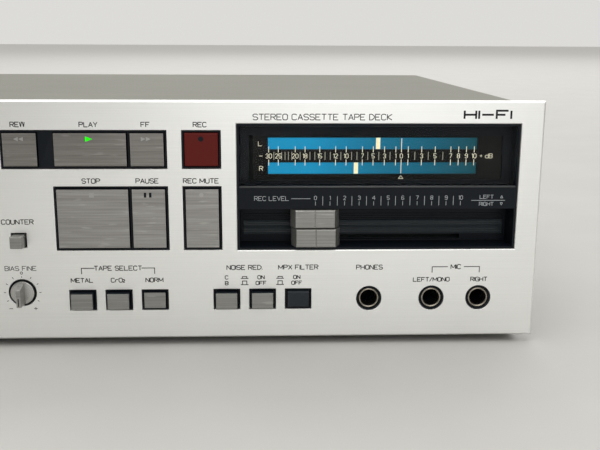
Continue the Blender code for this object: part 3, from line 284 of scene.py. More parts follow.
# %% [markdown]
# ## Paint, plastic and rubber
# The folded cover wears a semi-matt grey-olive paint with a slight orange peel. The mouldings are black plastic
# with a fine spark-eroded texture. Rubber is the roughest of all, and dust clings to it.
# %% Coated and moulded finishes
def even_finish(name, dark, light, rough, scale, bump, wear=0.0, dust=0.0, slot=None, cloud=1.0, **constants):
    """Colour runs dark to light with the slow tone, dust and worn edges lighten it, and even noise bumps it."""
    tree, shader, place = new_finish(name, slot, **constants)
    fine = place_group(tree, TEXTURE, {"Vector": place, "Scale": scale})
    touch = place_group(tree, HANDLED, {"Vector": place, "Dust": dust})
    colour = blended(tree, fine["Tone"], dark, light)
    pale = tuple(0.5 * part + 0.22 for part in light)
    if dust:
        colour = towards(tree, colour, pale, touch["Specks"], 0.35)
    if wear:
        colour = towards(tree, colour, pale, place_group(tree, WORN, {"Reach": 0.0005})["Wear"], wear)
    relief = add(tree, "Bump", {"Height": fine["Height"], "Strength": bump, "Distance": 0.00006})
    fill(tree, shader, {
        "Base Color": colour, "Normal": relief.outputs[0],
        "Roughness": ranged(tree, touch["Smudge"], rough - 0.05 * cloud, rough + 0.07 * cloud)})


# Name, dark, light, roughness, grain scale, bump, wear, dust, and where it differs the slot.
even_finish("cover_paint", (0.205, 0.200, 0.168), (0.218, 0.213, 0.179), 0.50, 1500.0, 0.22, 0.25, 0.012, cloud=0.25,
            Metallic=0.1)
MATT = {"Specular_IOR_Level": 0.15}
even_finish("black_plastic", (0.0040, 0.0062, 0.0100), (0.0065, 0.0095, 0.0140), 0.42, 2600.0, 0.12, 0.03, 0.008,
            **MATT)
even_finish("gloss_black", (0.006, 0.008, 0.012), (0.009, 0.012, 0.017), 0.16, 1200.0, 0.03, slot="black_plastic",
            **MATT)
even_finish("scale_black", (0.0045, 0.0042, 0.0036), (0.0065, 0.006, 0.005), 0.40, 1600.0, 0.03,
            slot="black_plastic", **MATT)
even_finish("record_red", (0.105, 0.007, 0.005), (0.125, 0.010, 0.007), 0.36, 900.0, 0.08, 0.06, 0.0, **MATT)
even_finish("dark_cap", (0.022, 0.027, 0.033), (0.030, 0.036, 0.043), 0.36, 1400.0, 0.08, 0.35, 0.0, **MATT)
even_finish("rib_navy", (0.026, 0.034, 0.040), (0.036, 0.046, 0.053), 0.34, 900.0, 0.05, slot="black_plastic")
even_finish("trim_gloss", (0.035, 0.038, 0.042), (0.050, 0.054, 0.058), 0.22, 900.0, 0.03, slot="black_plastic")
even_finish("rubber_black", (0.016, 0.016, 0.016), (0.028, 0.028, 0.027), 0.82, 1100.0, 0.35, 0.0, 0.03)
even_finish("wheel_white", (0.70, 0.70, 0.66), (0.78, 0.78, 0.74), 0.5, 1500.0, 0.05)
even_finish("spindle_grey", (0.46, 0.46, 0.44), (0.54, 0.54, 0.52), 0.42, 1500.0, 0.06)
even_finish("socket_red", (0.42, 0.015, 0.012), (0.50, 0.022, 0.018), 0.4, 1500.0, 0.05, slot="record_red")
even_finish("circuit_board", (0.20, 0.115, 0.04), (0.27, 0.165, 0.06), 0.5, 700.0, 0.12, 0.0, 0.02)
even_finish("iron_core", (0.060, 0.053, 0.045), (0.10, 0.088, 0.074), 0.5, 500.0, 0.2, 0.2, 0.02, Metallic=0.5)
even_finish("print_black", (0.010, 0.010, 0.011), (0.016, 0.016, 0.017), 0.5, 2000.0, 0.02, slot="black_plastic",
            **MATT)
even_finish("print_pale", (0.36, 0.39, 0.41), (0.44, 0.47, 0.49), 0.5, 2000.0, 0.02, slot="wheel_white")
even_finish("mark_faint", (0.36, 0.355, 0.345), (0.44, 0.435, 0.42), 0.38, 2000.0, 0.02, slot="key_metal",
            Metallic=0.6)


# %% [markdown]
# ## Glass and light
# The windows are clear plastic, with an index well under that of bare acrylic, which keeps their reflections faint
# enough for the scale to be read. The meter's two bands are diffusers lit by a lamp at their left end, so they are
# brightest there and fade to a dim blue-green on the right. The cream pointers and the scale's ticks and numbers
# glow with light of their own: painted light standing in for the lamp light that reaches them through the window.
# %% Windows and lit parts
BAND_LEFT, BAND_RIGHT = 101.8, 190.0


def window_finish(name, tint, rough):
    """Clear plastic: all light passes, tinted, with faint hairs of wear in the roughness."""
    tree, shader, place = new_finish(name, Transmission_Weight=1.0, IOR=1.12)
    touch = place_group(tree, HANDLED, {"Vector": place, "Dust": 0.0})
    fill(tree, shader, {
        "Base Color": blended(tree, touch["Smudge"], tint, tuple(0.96 * part for part in tint)),
        "Roughness": ranged(tree, touch["Smudge"], rough, rough + 0.02)})


def lit_finish(name, slot, near, far, strength, left=BAND_LEFT, right=BAND_RIGHT):
    """Light whose colour runs from near at the left end to far at the right, along x."""
    tree, shader, place = new_finish(name, slot, Roughness=0.5, Emission_Strength=strength,
                                     Specular_IOR_Level=0.1)
    x = add(tree, "SeparateXYZ", {0: place}).outputs[0]
    along = ranged(tree, x, 0.0, 1.0, left * MM, right * MM)
    ramp = add(tree, "ValToRGB", {"Fac": along})
    ramp.color_ramp.elements[0].color = (*near, 1.0)
    ramp.color_ramp.elements[1].color = (*far, 1.0)
    for stop, far_share in ((0.2, 0.0), (0.55, 0.58)):
        blend = ((1.0 - far_share) * n + far_share * f for n, f in zip(near, far))
        ramp.color_ramp.elements.new(stop).color = (*blend, 1.0)
    mottle = place_group(tree, TEXTURE, {"Vector": place, "Scale": 900.0})
    uneven = ranged(tree, mottle["Height"], 0.94, 1.06)
    fill(tree, shader, {
        "Emission Color": add(tree, "VectorMath", {0: ramp.outputs[0], 3: uneven}, operation="SCALE").outputs[0],
        "Base Color": blended(tree, mottle["Height"], tuple(0.2 * c for c in far), tuple(0.3 * c for c in far))})


window_finish("clear_glass", (0.93, 0.95, 0.96), 0.0)
window_finish("smoked_glass", (0.30, 0.30, 0.31), 0.01)
lit_finish("meter_light", "meter_light", (0.010, 0.280, 0.510), (0.008, 0.062, 0.080), 1.0)
# Pointers and scale print glow though they are no lamps: painted light, dimmer for the small ticks.
for name, slot, colour, strength in (("pointer_cream", "pointer_cream", (0.98, 0.90, 0.58), 0.95),
                                     ("scale_cream_painted_glow", "pointer_cream", (0.90, 0.84, 0.62), 0.9),
                                     ("scale_dim_painted_glow", "pointer_cream", (0.70, 0.66, 0.52), 0.42),
                                     ("play_green", "meter_light", (0.015, 0.85, 0.002), 1.0)):
    lit_finish(name, slot, colour, colour, strength)
print(len(FINISHES), "finishes in all")

# %% [markdown]
# ## Shapes from arrays
# A surface is a grid of points worked out for all rows and columns at once, and its faces are the quads between
# neighbours. Closing the grid in one direction makes a tube or a turned part, closing it in both makes a ring.
# %% Grids, turned shapes and joined shapes
def grid_faces(rows, columns, ring=False, around=False):
    """Quads between neighbours of a rows-by-columns grid: each cell's four corners, wrapped where closed."""
    r = np.arange(rows if ring else rows - 1)[:, None]
    c = np.arange(columns if around else columns - 1)[None, :]
    below, beside = (r + 1) % rows, (c + 1) % columns
    corners = [r * columns + c, r * columns + beside, below * columns + beside, below * columns + c]
    return np.stack(corners, axis=-1).reshape(-1, 4).tolist()


def closed_sheet(front, back):
    """Two grids of one size as a solid: down the front, up the back, and a flat face at each side."""
    rows, columns = front.shape[:2]
    sides = [list(range(start, 2 * rows * columns, columns)) for start in (0, columns - 1)]
    return np.concatenate([front, back[::-1]]).reshape(-1, 3), grid_faces(2 * rows, columns, ring=True) + sides


def turned(axis, middle, profile, sides=48, ring=False):
    """Each (radius, place) of the profile swept round an axis: middle plus radius times cosine and sine."""
    radius, place = np.array(profile, float).T
    angle = np.linspace(0.0, 2 * np.pi, sides, endpoint=False)
    u = middle[0] + radius[:, None] * np.cos(angle)
    v = middle[1] + radius[:, None] * np.sin(angle)
    w = place[:, None] + 0.0 * angle
    order = {"X": (w, u, v), "Y": (u, w, v), "Z": (u, v, w)}[axis]
    return np.stack(order, axis=-1).reshape(-1, 3), grid_faces(len(profile), sides, ring, True)


def joined(shapes):
    """Several (points, faces) shapes as one, each face moved on by the number of points before it."""
    shapes = list(shapes)
    starts = np.cumsum([0] + [len(points) for points, _ in shapes[:-1]])
    faces = [[start + i for i in face] for start, (_, some) in zip(starts.tolist(), shapes) for face in some]
    return np.concatenate([points for points, _ in shapes]), faces


def make_piece(name, shape, finish, body="chassis", bevel=0.0, smooth=None, replaces=(), weld=True):
    """A finished piece from a shape in panel millimetres, faces outward, riding on its body."""
    points, faces = shape
    mesh = bpy.data.meshes.new(name)
    mesh.from_pydata(points * MM + ORIGIN, [], faces)
    skin = bmesh.new()
    skin.from_mesh(mesh)
    if weld:
        bmesh.ops.remove_doubles(skin, verts=skin.verts, dist=1e-7)
    bmesh.ops.recalc_face_normals(skin, faces=skin.faces)
    skin.to_mesh(mesh)
    skin.free()
    return dressed(name, mesh, finish, body, bevel, smooth, replaces)


def dressed(name, mesh, finish, body, bevel, smooth, replaces):
    """The object for a mesh: its finish, its softened edges, its body and the nodes that it stands for."""
    mesh.materials.clear()
    mesh.materials.append(FINISHES[finish])
    piece = bpy.data.objects.new(name, mesh)
    bpy.context.scene.collection.objects.link(piece)
    if smooth is not None:
        mesh.shade_smooth()
        mesh.set_sharp_from_angle(angle=math.radians(smooth))
    if bevel:
        edges = piece.modifiers.new("softened edges", "BEVEL")
        edges.width = bevel * MM
        edges.segments = 2
        edges.limit_method = "ANGLE"
        edges.angle_limit = math.radians(32)
    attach(piece, body)
    if replaces:
        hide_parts(*replaces)
    return piece


# %% [markdown]
# ## Softened copies
# No real edge is perfectly sharp: pressing, milling and moulding all leave a small round that catches light. A
# part whose shape is already right is copied, its loose triangles are merged and its flat faces joined again, and
# a Bevel modifier rounds its edges by the amount that its process leaves.
# %% A copy with rounded edges
def softened(node, finish, bevel, name=None):
    """A copy of a model node, merged and with flat faces joined, its edges rounded by a Bevel modifier."""
    mesh = nodes[node].data.copy()
    skin = bmesh.new()
    skin.from_mesh(mesh)
    bmesh.ops.remove_doubles(skin, verts=skin.verts, dist=2e-6)
    bmesh.ops.dissolve_limit(skin, angle_limit=math.radians(0.4), verts=skin.verts, edges=skin.edges)
    skin.to_mesh(mesh)
    skin.free()
    return dressed(name or f"{node}_finished", mesh, finish, BODY_OF[node], bevel, None, (node,))


softened("front_panel", "brushed_aluminium", 0.12)
softened("front_subframe", "black_plastic", 0.10)
softened("cassette_door", "brushed_aluminium", 0.15)
softened("door_window", "smoked_glass", 0.2)
CAPPED = ("rew_key", "play_key", "ff_key", "stop_key", "pause_key", "rec_mute_key", "eject_button", "power_button",
          "metal_tape_button", "chrome_tape_button", "normal_tape_button", "nr_type_button", "nr_switch_button")
for key in CAPPED:
    softened(key, "black_plastic", 0.12)
softened("counter_reset_button", "knob_metal", 0.15)
softened("rec_key", "record_red", 0.2)
softened("mpx_filter_button", "dark_cap", 0.3)
for knob in ("left_level_knob", "right_level_knob"):
    softened(knob, "knob_metal", 0.18)

# %% [markdown]
# ## The meter window
# One black moulding fills the big opening. Above its strip stands the clear window on a thin rounded trim; behind
# that lies the scale with its two lit slots. Below the strip is the ribbed channel for the level knobs.
# %% Moulding, window, scale and light
softened("meter_bezel", "black_plastic", 0.12)
softened("meter_window", "clear_glass", 0.15)
softened("meter_scale", "scale_black", 0.05)
# The pointers take the glowing cream finish: painted light.
for pointer in ("left_meter_pointer", "right_meter_pointer"):
    softened(pointer, "pointer_cream", 0.05)

SCALE_FACE = span("meter_scale")[0][1]
BAND_HEIGHT = 4.86
LEFT_BAND, RIGHT_BAND = 78.99, 68.55
STRIP_TOP = 64.5
flag_low, flag_high = span("left_meter_pointer")


def crowned_plate(x, z, front, thickness, crown, rows=5, columns=40):
    """A plate whose front bulges by crown times one less the square of the height, closed behind."""
    u, v = np.meshgrid(np.linspace(*x, columns), np.linspace(-1.0, 1.0, rows))
    rise = (z[1] - z[0]) / 2
    face = np.stack([u, front + crown * v ** 2, (z[0] + z[1]) / 2 + rise * v], axis=-1)
    back = np.stack([u, np.full_like(u, front + thickness), (z[0] + z[1]) / 2 + rise * v], axis=-1)
    return closed_sheet(face, back)


GLOW_FRONT = SCALE_FACE + 2.05
make_piece("meter_diffusers", joined(
    crowned_plate((BAND_LEFT - 1.5, BAND_RIGHT + 1.5), (z - 1.0, z + BAND_HEIGHT + 1.0), GLOW_FRONT, 0.12, 0.05)
    for z in (LEFT_BAND, RIGHT_BAND)), "meter_light", smooth=40)
print(f"scale face at {SCALE_FACE:.2f} mm, pointers {flag_low[1]:.2f} to {flag_high[1]:.2f} mm deep")

# %% [markdown]
# ## Lettering and ruled lines
# The printing is screen-printed in a thin, wide, squared letter. Each character is drawn here as a few straight
# strokes on a grid four units wide and six high, and every stroke becomes a strip of ink a few hundredths of a
# millimetre thick. That keeps the letters sharp at any distance and the same on every machine.
# %% The alphabet, as strokes on a four by six grid
GLYPHS = {
    "A": "00 26 40|12 32", "B": "00 06 36 45 44 33 03|33 42 41 30 00", "C": "45 36 16 05 01 10 30 41",
    "D": "00 06 26 44 42 20 00", "E": "46 06 00 40|03 33", "F": "46 06 00|03 33",
    "G": "45 36 16 05 01 10 40 43 23", "H": "00 06|40 46|03 43", "I": "20 26", "J": "26 21 10 00",
    "K": "00 06|46 03 40", "L": "06 00 40", "M": "00 06 22 32 56 50", "N": "00 06 40 46",
    "O": "10 01 05 16 36 45 41 30 10", "P": "00 06 36 45 44 33 03", "R": "00 06 36 45 44 33 03|23 40",
    "S": "45 36 16 05 04 13 33 42 41 30 10 01", "T": "06 46|26 20", "U": "06 01 10 30 41 46",
    "V": "06 20 46", "W": "06 10 26 36 40 56", "X": "00 46|06 40", "Y": "06 23 46|23 20", "Z": "06 46 00 40",
    "0": "10 01 05 16 26 35 31 20 10", "1": "15 26 20", "2": "05 16 26 35 34 00 30",
    "3": "05 16 26 35 34 23 13|23 32 31 20 10 01", "4": "30 36 02 42", "5": "36 06 03 23 32 31 20 10 01",
    "6": "35 26 16 05 01 10 20 31 32 23 03", "7": "06 36 10", "8": "13 04 05 16 26 35 34 23 13 02 01 10 20 31 32 23",
    "9": "01 10 20 31 35 26 16 05 04 13 33", "+": "03 43|21 25", "-": "03 43", "/": "00 36", ".": "00 01",
    "r": "00 04|03 14 34", "d": "46 40 10 01 03 14 44",
}
LETTER_GAP, WORD_GAP = 1.05, 3.8


def lettering(text, x, z, height, stretch=1.22, middle=0.5):
    """The strokes of a text: each letter moved on by the widths before it, the whole scaled to its height."""
    lines, pen = [], 0.0
    for letter in text:
        if letter == " ":
            pen += WORD_GAP - LETTER_GAP
            continue
        strokes = [np.array([tuple(map(int, point)) for point in stroke.split()], float)
                   for stroke in GLYPHS[letter].split("|")]
        left = min(stroke[:, 0].min() for stroke in strokes)
        lines += [stroke + (pen - left, -3.0) for stroke in strokes]
        pen += max(stroke[:, 0].max() for stroke in strokes) - left + LETTER_GAP
    unit = height / 6
    return [(line - ((pen - LETTER_GAP) * middle, 0.0)) * (unit * stretch, unit) + (x, z) for line in lines]


# %% Strokes to strips of ink
def strip(line, width, front, back):
    """A flat strip along (x, z) points. Each point's sides stand off along the sum of its two neighbouring
    normals over one plus their agreement, which keeps the width even round a corner."""
    line = np.asarray(line, float)
    steps = np.diff(line, axis=0)
    steps /= np.linalg.norm(steps, axis=1, keepdims=True)
    normals = np.column_stack([-steps[:, 1], steps[:, 0]])
    loop = np.allclose(line[0], line[-1])
    before = np.vstack([normals[-1:] if loop else normals[:1], normals])
    after = np.vstack([normals, normals[:1] if loop else normals[-1:]])
    agreement = (before * after).sum(axis=1, keepdims=True)
    offset = (before + after) / np.maximum(1.0 + agreement, 0.6) * width / 2
    corners = [(line + offset, front), (line - offset, front), (line - offset, back), (line + offset, back)]
    points = np.stack([np.column_stack([p[:, 0], np.full(len(p), y), p[:, 1]]) for p, y in corners], axis=1)
    last = 4 * len(line)
    ends = [[0, 1, 2, 3], list(range(last - 4, last))]
    return points.reshape(-1, 3), grid_faces(len(line), 4, around=True) + ends


def plate(outline, front, back):
    """An outline of (x, z) points drawn out from front to back, closed by a flat face at each end."""
    outline = np.asarray(outline, float)
    count = len(outline)
    rings = [np.column_stack([outline[:, 0], np.full(count, y), outline[:, 1]]) for y in (front, back)]
    ends = [list(range(count)), list(range(count, 2 * count))]
    return np.concatenate(rings), grid_faces(2, count, around=True) + ends


def rectangle(left, right, low, high):
    """The four corners of an upright rectangle, counter-clockwise from the lower left."""
    return [(left, low), (right, low), (right, high), (left, high)]


def arc(middle, radius, start=0.0, end=360.0, steps=20):
    """Points on a circle from one angle to another, in degrees counted from the right."""
    angle = np.radians(np.linspace(start, end, steps + 1))
    return np.column_stack([middle[0] + radius * np.cos(angle), middle[1] + radius * np.sin(angle)])


def unhooked(line):
    """The line cut wherever it turns by more than a right angle, so that no sharp corner pinches its strip."""
    line = np.asarray(line, float)
    steps = np.diff(line, axis=0)
    turns = np.flatnonzero((steps[1:] * steps[:-1]).sum(axis=1) < 0) + 1
    edges = [0, *turns.tolist(), len(line) - 1]
    return [line[a:b + 1] for a, b in zip(edges[:-1], edges[1:])]


def inked(lines, width, front, back):
    """One shape for many lines."""
    return joined(strip(part, width, front, back) for line in lines for part in unhooked(line))


def printed(name, lines, width, finish="print_black", front=-0.03, back=0.02):
    """Ink strips as a piece. They aren't welded, so that strokes which cross keep their own corners."""
    return make_piece(name, inked(lines, width, front, back), finish, weld=False)


# %% [markdown]
# ## Printing on the face plate
# A key's legend stands a set height above the key that it names, and a bracket gathers the keys of one group.
# The rises below are counted from the middle of the row of buttons.
# %% Legends, brackets and the dial
INK, DIAL_INK = 0.34, 0.24
CAP, SMALL_CAP, CHOICE_CAP = 1.85, 1.75, 1.5
GROUP_RISE, SOCKET_RISE, SIDE_RISE = 13.8, 13.6, 8.1
NOISE_X, FILTER_X, STAND_X = 91.8, 114.3, (91.8, 106.7)


def above(node, text, rise=3.35, height=CAP, shift=-0.4):
    """A legend over a node: at the node's middle, a set rise above its top."""
    return lettering(text, centre(node)[0] + shift, span(node)[1][2] + rise, height)


def bracket(x, z, drop, text_half):
    """A ruled line with both ends turned down, broken in the middle for its title."""
    middle = (x[0] + x[1]) / 2
    return [[(x[0], z - drop), (x[0], z), (middle - text_half, z)],
            [(middle + text_half, z), (x[1], z), (x[1], z - drop)]]


legends = []
for node, text in (("rew_key", "REW"), ("play_key", "PLAY"), ("ff_key", "FF"), ("rec_key", "REC"),
                   ("stop_key", "STOP"), ("pause_key", "PAUSE"), ("rec_mute_key", "REC MUTE"),
                   ("eject_button", "EJECT"), ("power_button", "POWER")):
    legends += above(node, text)
for node, text in (("metal_tape_button", "METAL"), ("normal_tape_button", "NORM")):
    legends += above(node, text, 5.2, SMALL_CAP, -0.1)
tape_x, line_z = centre("chrome_tape_button")[0], centre("chrome_tape_button")[2]
legends += lettering("CrO", tape_x - 0.7, line_z + 8.6, SMALL_CAP) + lettering("2", tape_x + 2.2, line_z + 8.3, 1.2)
legends += lettering("TAPE SELECT", tape_x, line_z + GROUP_RISE, CAP)
legends += bracket((tape_x - 15.1, tape_x + 15.1), line_z + GROUP_RISE, 2.5, 9.7)
legends += lettering("NOISE RED.", NOISE_X, line_z + GROUP_RISE, CAP)
legends += lettering("MPX FILTER", FILTER_X, line_z + GROUP_RISE, CAP)
for node, upper, lower in (("nr_type_button", "C", "B"), ("nr_switch_button", "ON", "OFF"),
                           ("mpx_filter_button", "ON", "OFF")):
    x = centre(node)[0] - (0.6 if upper == "ON" else 0.0)
    legends += lettering(upper, x, line_z + 9.5, CHOICE_CAP) + lettering(lower, x, line_z + 7.0, CHOICE_CAP)
for x in STAND_X:
    for base, tall in ((9.0, 0.8), (6.3, 1.6)):
        foot, top = line_z + base, line_z + base + tall
        legends += [[(x - 1.6, foot), (x + 1.6, foot)],
                    [(x - 0.9, foot + 0.1), (x - 0.9, top), (x + 0.9, top), (x + 0.9, foot + 0.1)]]
phones_x, left_x, right_x = (centre(jack)[0] for jack in ("phones_jack", "mic_left_jack", "mic_right_jack"))
legends += lettering("PHONES", phones_x, line_z + SOCKET_RISE, CAP)
legends += lettering("MIC", (left_x + right_x) / 2, line_z + SOCKET_RISE, CAP)
legends += bracket((left_x, right_x), line_z + SOCKET_RISE, 2.5, 3.4)
for text, x in (("LEFT/MONO", left_x - 0.2), ("RIGHT", right_x)):
    legends += lettering(text, x, line_z + SIDE_RISE, 1.7)
legends += lettering("COUNTER", centre("counter_reset_button")[0] - 0.2, 50.5, CAP)
legends += lettering("STEREO CASSETTE TAPE DECK", 123.9, 93.4, 2.3, 1.24)
printed("panel_legends", legends, INK)
printed("panel_badge", lettering("HI-FI", 191.2, 94.4, 3.3, 2.15), 0.8)
print("legend strokes:", len(legends))

# %% Bias dial
dial = centre("bias_knob")
BIAS_STEP = 30.0
marks = lettering("BIAS FINE", dial[0] - 0.2, dial[2] + 10.4, CAP)
for turn in np.arange(-120.0, 121.0, BIAS_STEP):
    lean = math.radians(turn)
    along = np.array([math.sin(lean), math.cos(lean)])
    near, far = (6.9, 7.7) if turn else (6.5, 7.0)
    marks.append([dial[[0, 2]] + along * near, dial[[0, 2]] + along * far])
marks.append(arc(dial[[0, 2]] + (0.0, 8.45), 0.5, steps=14))
marks += lettering("-", dial[0] - 5.2, dial[2] - 7.0, 1.8) + lettering("+", dial[0] + 5.0, dial[2] - 7.0, 1.8)
printed("bias_dial_marks", marks, DIAL_INK)

# %% [markdown]
# ## Plates and marks on the caps
# A cap is a black moulding with a thin plate of brushed metal pressed onto its face. The plate is a rectangle drawn
# out a little way, so the black edge stays to be seen round it. The play key carries a small lit arrow, pause two
# black bars and record a black dot. The other keys have unlit marks, barely lighter than the metal. Each mark
# rides on its own key.
# %% Brushed plates
PLATE, PLATE_INSET = 0.15, 0.1


for key in CAPPED:
    low, high = span(key)
    finish = "knob_metal"
    if key.endswith("_key"):
        # rew, play and ff take the darker copy of the key metal: painted shade.
        finish = "upper_key_metal_painted_shade" if key in ("rew_key", "play_key", "ff_key") else "key_metal"
    outline = rectangle(low[0] + PLATE_INSET, high[0] - PLATE_INSET, low[2] + PLATE_INSET, high[2] - PLATE_INSET)
    make_piece(f"{key}_plate", plate(outline, low[1] - PLATE, low[1] + 0.2), finish, key, bevel=0.08)
print(f"plates {PLATE + 0.2:.2f} mm thick on {len(CAPPED)} caps")

# %% Lit and unlit marks
MARK_DROP = 2.4


def mark_place(key):
    """The middle of a key's mark and the height of its cap's face."""
    low, high = span(key)
    return (low[0] + high[0]) / 2 - 0.3, high[2] - MARK_DROP, low[1] - (PLATE if key in CAPPED else 0.0)


def arrow(x, z, width, height):
    """A triangle pointing right, or left where the width is negative."""
    return [(x - width / 2, z - height / 2), (x + width / 2, z), (x - width / 2, z + height / 2)]


x, z, face = mark_place("play_key")
make_piece("play_lamp", plate(arrow(x, z, 2.9, 2.2), face - 0.05, face + 0.1), "play_green", "play_key", bevel=0.04)
x, z, face = mark_place("pause_key")
bars = [rectangle(x + side - 0.5, x + side + 0.5, z - 1.0, z + 1.0) for side in (-1.05, 1.05)]
make_piece("pause_mark", joined(plate(bar, face - 0.04, face + 0.1) for bar in bars), "gloss_black", "pause_key",
           bevel=0.03)
x, z, face = mark_place("rec_key")
make_piece("record_mark", plate(arc((x + 0.2, z), 1.05, steps=28)[:-1], face - 0.04, face + 0.1), "gloss_black",
           "rec_key", bevel=0.03)
for key, way in (("rew_key", -1.0), ("ff_key", 1.0)):
    x, z, face = mark_place(key)
    make_piece(f"{key}_mark", joined(plate(arrow(x + s, z, way * 1.9, 1.7), face - 0.03, face + 0.1)
                                     for s in (-1.0, 1.0)), "mark_faint", key, bevel=0.03)
x, z, face = mark_place("stop_key")
make_piece("stop_key_mark", plate(rectangle(x - 1.0, x + 1.0, z - 0.95, z + 0.95), face - 0.03, face + 0.1),
           "mark_faint", "stop_key", bevel=0.03)
x, z, face = mark_place("rec_mute_key")
make_piece("rec_mute_key_mark", plate(arc((x, z), 0.9, steps=24)[:-1], face - 0.03, face + 0.1), "mark_faint",
           "rec_mute_key", bevel=0.03)

# %% [markdown]
# ## The meter's scale
# A level meter is spread out near 0 dB, where it matters, and crowded at the quiet end. Nine marks have known
# places, and every mark between two of them is placed in proportion: decibels in, millimetres out.
# %% Ticks, numbers and the level strip
DB_ANCHORS = (-30.0, -25.0, -20.0, -15.0, -10.0, -5.0, 0.0, 5.0, 10.0)
DB_PLACES = (102.1, 106.1, 113.2, 123.5, 134.6, 146.0, 157.9, 172.2, 188.8)
NUMBERED = (-30, -25, -20, -18, -15, -12, -10, -7, -5, -3, -1, 0, 1, 3, 5, 7, 8, 9, 10)
NUMBER_Z = (LEFT_BAND + RIGHT_BAND + BAND_HEIGHT) / 2
FIRST_SMALL = -27.3
TICK_START, TICK_REACH, ZERO_REACH, SMALL_REACH = 1.5, 4.0, 7.4, 1.7


def scale_place(db):
    """Where a level stands on the meter, between the nearest two marks that have known places."""
    return float(np.interp(db, DB_ANCHORS, DB_PLACES))


ticks, numbers = [], []
for db in NUMBERED:
    at, reach = scale_place(db), TICK_REACH if db else ZERO_REACH
    ticks += [[(at, NUMBER_Z + side * TICK_START), (at, NUMBER_Z + side * reach)] for side in (1, -1)]
    numbers += lettering(str(abs(db)), at, NUMBER_Z, 1.85, 1.15)
small_ticks = [[(at, NUMBER_Z - SMALL_REACH), (at, NUMBER_Z + SMALL_REACH)]
               for at in map(scale_place, [db for db in range(-25, 10) if db not in NUMBERED] + [FIRST_SMALL])]
numbers += lettering("L", 98.5, LEFT_BAND + 2.4, 1.8) + lettering("R", 98.9, RIGHT_BAND + 2.4, 1.8)
numbers += lettering("-", 98.8, NUMBER_Z, 1.6) + lettering("+", 191.8, NUMBER_Z, 1.6, 0.9)
numbers += lettering("dB", 195.1, NUMBER_Z, 1.8, 1.1)
zero = scale_place(0)
numbers.append([(zero - 1.0, 66.6), (zero + 1.0, 66.6), (zero, 67.8), (zero - 1.0, 66.6)])
# Ticks and numbers glow with painted light, and the small ticks glow more dimly.
printed("meter_ticks", ticks, 0.27, "scale_cream_painted_glow", SCALE_FACE - 0.08, SCALE_FACE - 0.02)
printed("meter_small_ticks", small_ticks, 0.26, "scale_dim_painted_glow", SCALE_FACE - 0.08, SCALE_FACE - 0.02)
printed("meter_numbers", numbers, 0.2, "scale_cream_painted_glow", SCALE_FACE - 0.16, SCALE_FACE - 0.1)

bezel_low, bezel_high = span("meter_bezel")
STRIP_FACE = bezel_low[1]
CHANNEL_FLOOR, CHANNEL_WALL = span("right_level_knob")[0][2] - 0.35, 13.0
RIB_PITCH, RIB_WAVE, RIB_BASE = 0.62, 0.17, 0.21
RIB_ROWS, RIB_COLUMNS = 63, 3
# The ribs' lighter navy covers only the lower part of the channel. The black moulding left bare above it is painted
# shade under the strip's overhang.
rib_x, rib_z = np.meshgrid(np.linspace(bezel_low[0] + 2.0, bezel_high[0] - 2.0, RIB_COLUMNS),
                           np.linspace(CHANNEL_FLOOR + 3.0, CHANNEL_FLOOR + 9.2, RIB_ROWS))
rib_face = CHANNEL_WALL - RIB_BASE + RIB_WAVE * np.cos(2 * np.pi * (rib_z - CHANNEL_FLOOR) / RIB_PITCH)
front_grid = np.stack([rib_x, rib_face, rib_z], axis=-1)
back_grid = np.stack([rib_x, np.full_like(rib_x, CHANNEL_WALL - 0.02), rib_z], axis=-1)
make_piece("channel_ribs", closed_sheet(front_grid, back_grid), "rib_navy")
make_piece("meter_trim", turned("X", (STRIP_FACE + 0.05, STRIP_TOP + 0.2), [
    (0.0, bezel_low[0] + 0.8), (0.3, bezel_low[0] + 0.85), (0.42, bezel_low[0] + 1.1), (0.42, bezel_high[0] - 1.1),
    (0.3, bezel_high[0] - 0.85), (0.0, bezel_high[0] - 0.8)], 24), "trim_gloss", smooth=50)
LEVEL_LEFT, LEVEL_STEP = 121.3, 6.04
level = lettering("REC LEVEL", 103.2, 59.9, 1.75, 1.15) + [[(111.3, 59.8), (119.2, 59.8)]]
for number in range(11):
    x = LEVEL_LEFT + number * LEVEL_STEP
    level += lettering(str(number), x, 60.1, 1.6) + [[(x, 56.9), (x, 58.6)]]
    if number < 10:
        level.append([(x + LEVEL_STEP / 2, 56.9), (x + LEVEL_STEP / 2, 60.8)])
level += [[(186.2, 58.9), (200.4, 58.9)]]
level += lettering("LEFT", 192.6, 60.4, 1.45) + lettering("RIGHT", 192.6, 57.4, 1.45)
level += [[(198.4, 59.9), (199.4, 59.9), (198.9, 60.9), (198.4, 59.9)],
          [(198.4, 57.9), (199.4, 57.9), (198.9, 56.9), (198.4, 57.9)]]
printed("level_strip_print", level, 0.2, "print_pale", STRIP_FACE - 0.03, STRIP_FACE + 0.02)
print(f"scale: {len(ticks)} ticks, {len(numbers)} number strokes; strip: {len(level)} strokes")

# %% [markdown]
# ## Knob, sockets and counter
# The bias knob is turned and then given a milled grip, so its disc takes the spun finish and its bar the brushed
# one. The sockets are nickel bushings round a black bore. The counter's wheels carry ten figures each; a figure is
# drawn flat and then rolled onto its wheel, its height becoming an angle.
# %% Bias knob
knob_low, knob_high = span("bias_knob")
DISC_RADIUS = (knob_high[0] - knob_low[0]) / 2
DISC_FACE = -0.8
make_piece("bias_knob_disc", turned("Y", dial[[0, 2]], [
    (0.0, DISC_FACE), (DISC_RADIUS - 0.5, DISC_FACE), (DISC_RADIUS - 0.15, DISC_FACE + 0.1),
    (DISC_RADIUS, DISC_FACE + 0.4), (DISC_RADIUS, 1.6), (3.0, 1.6), (3.0, knob_high[1]), (0.0, knob_high[1])], 72),
    "spun_disc", "bias_knob", smooth=35, replaces=("bias_knob",))


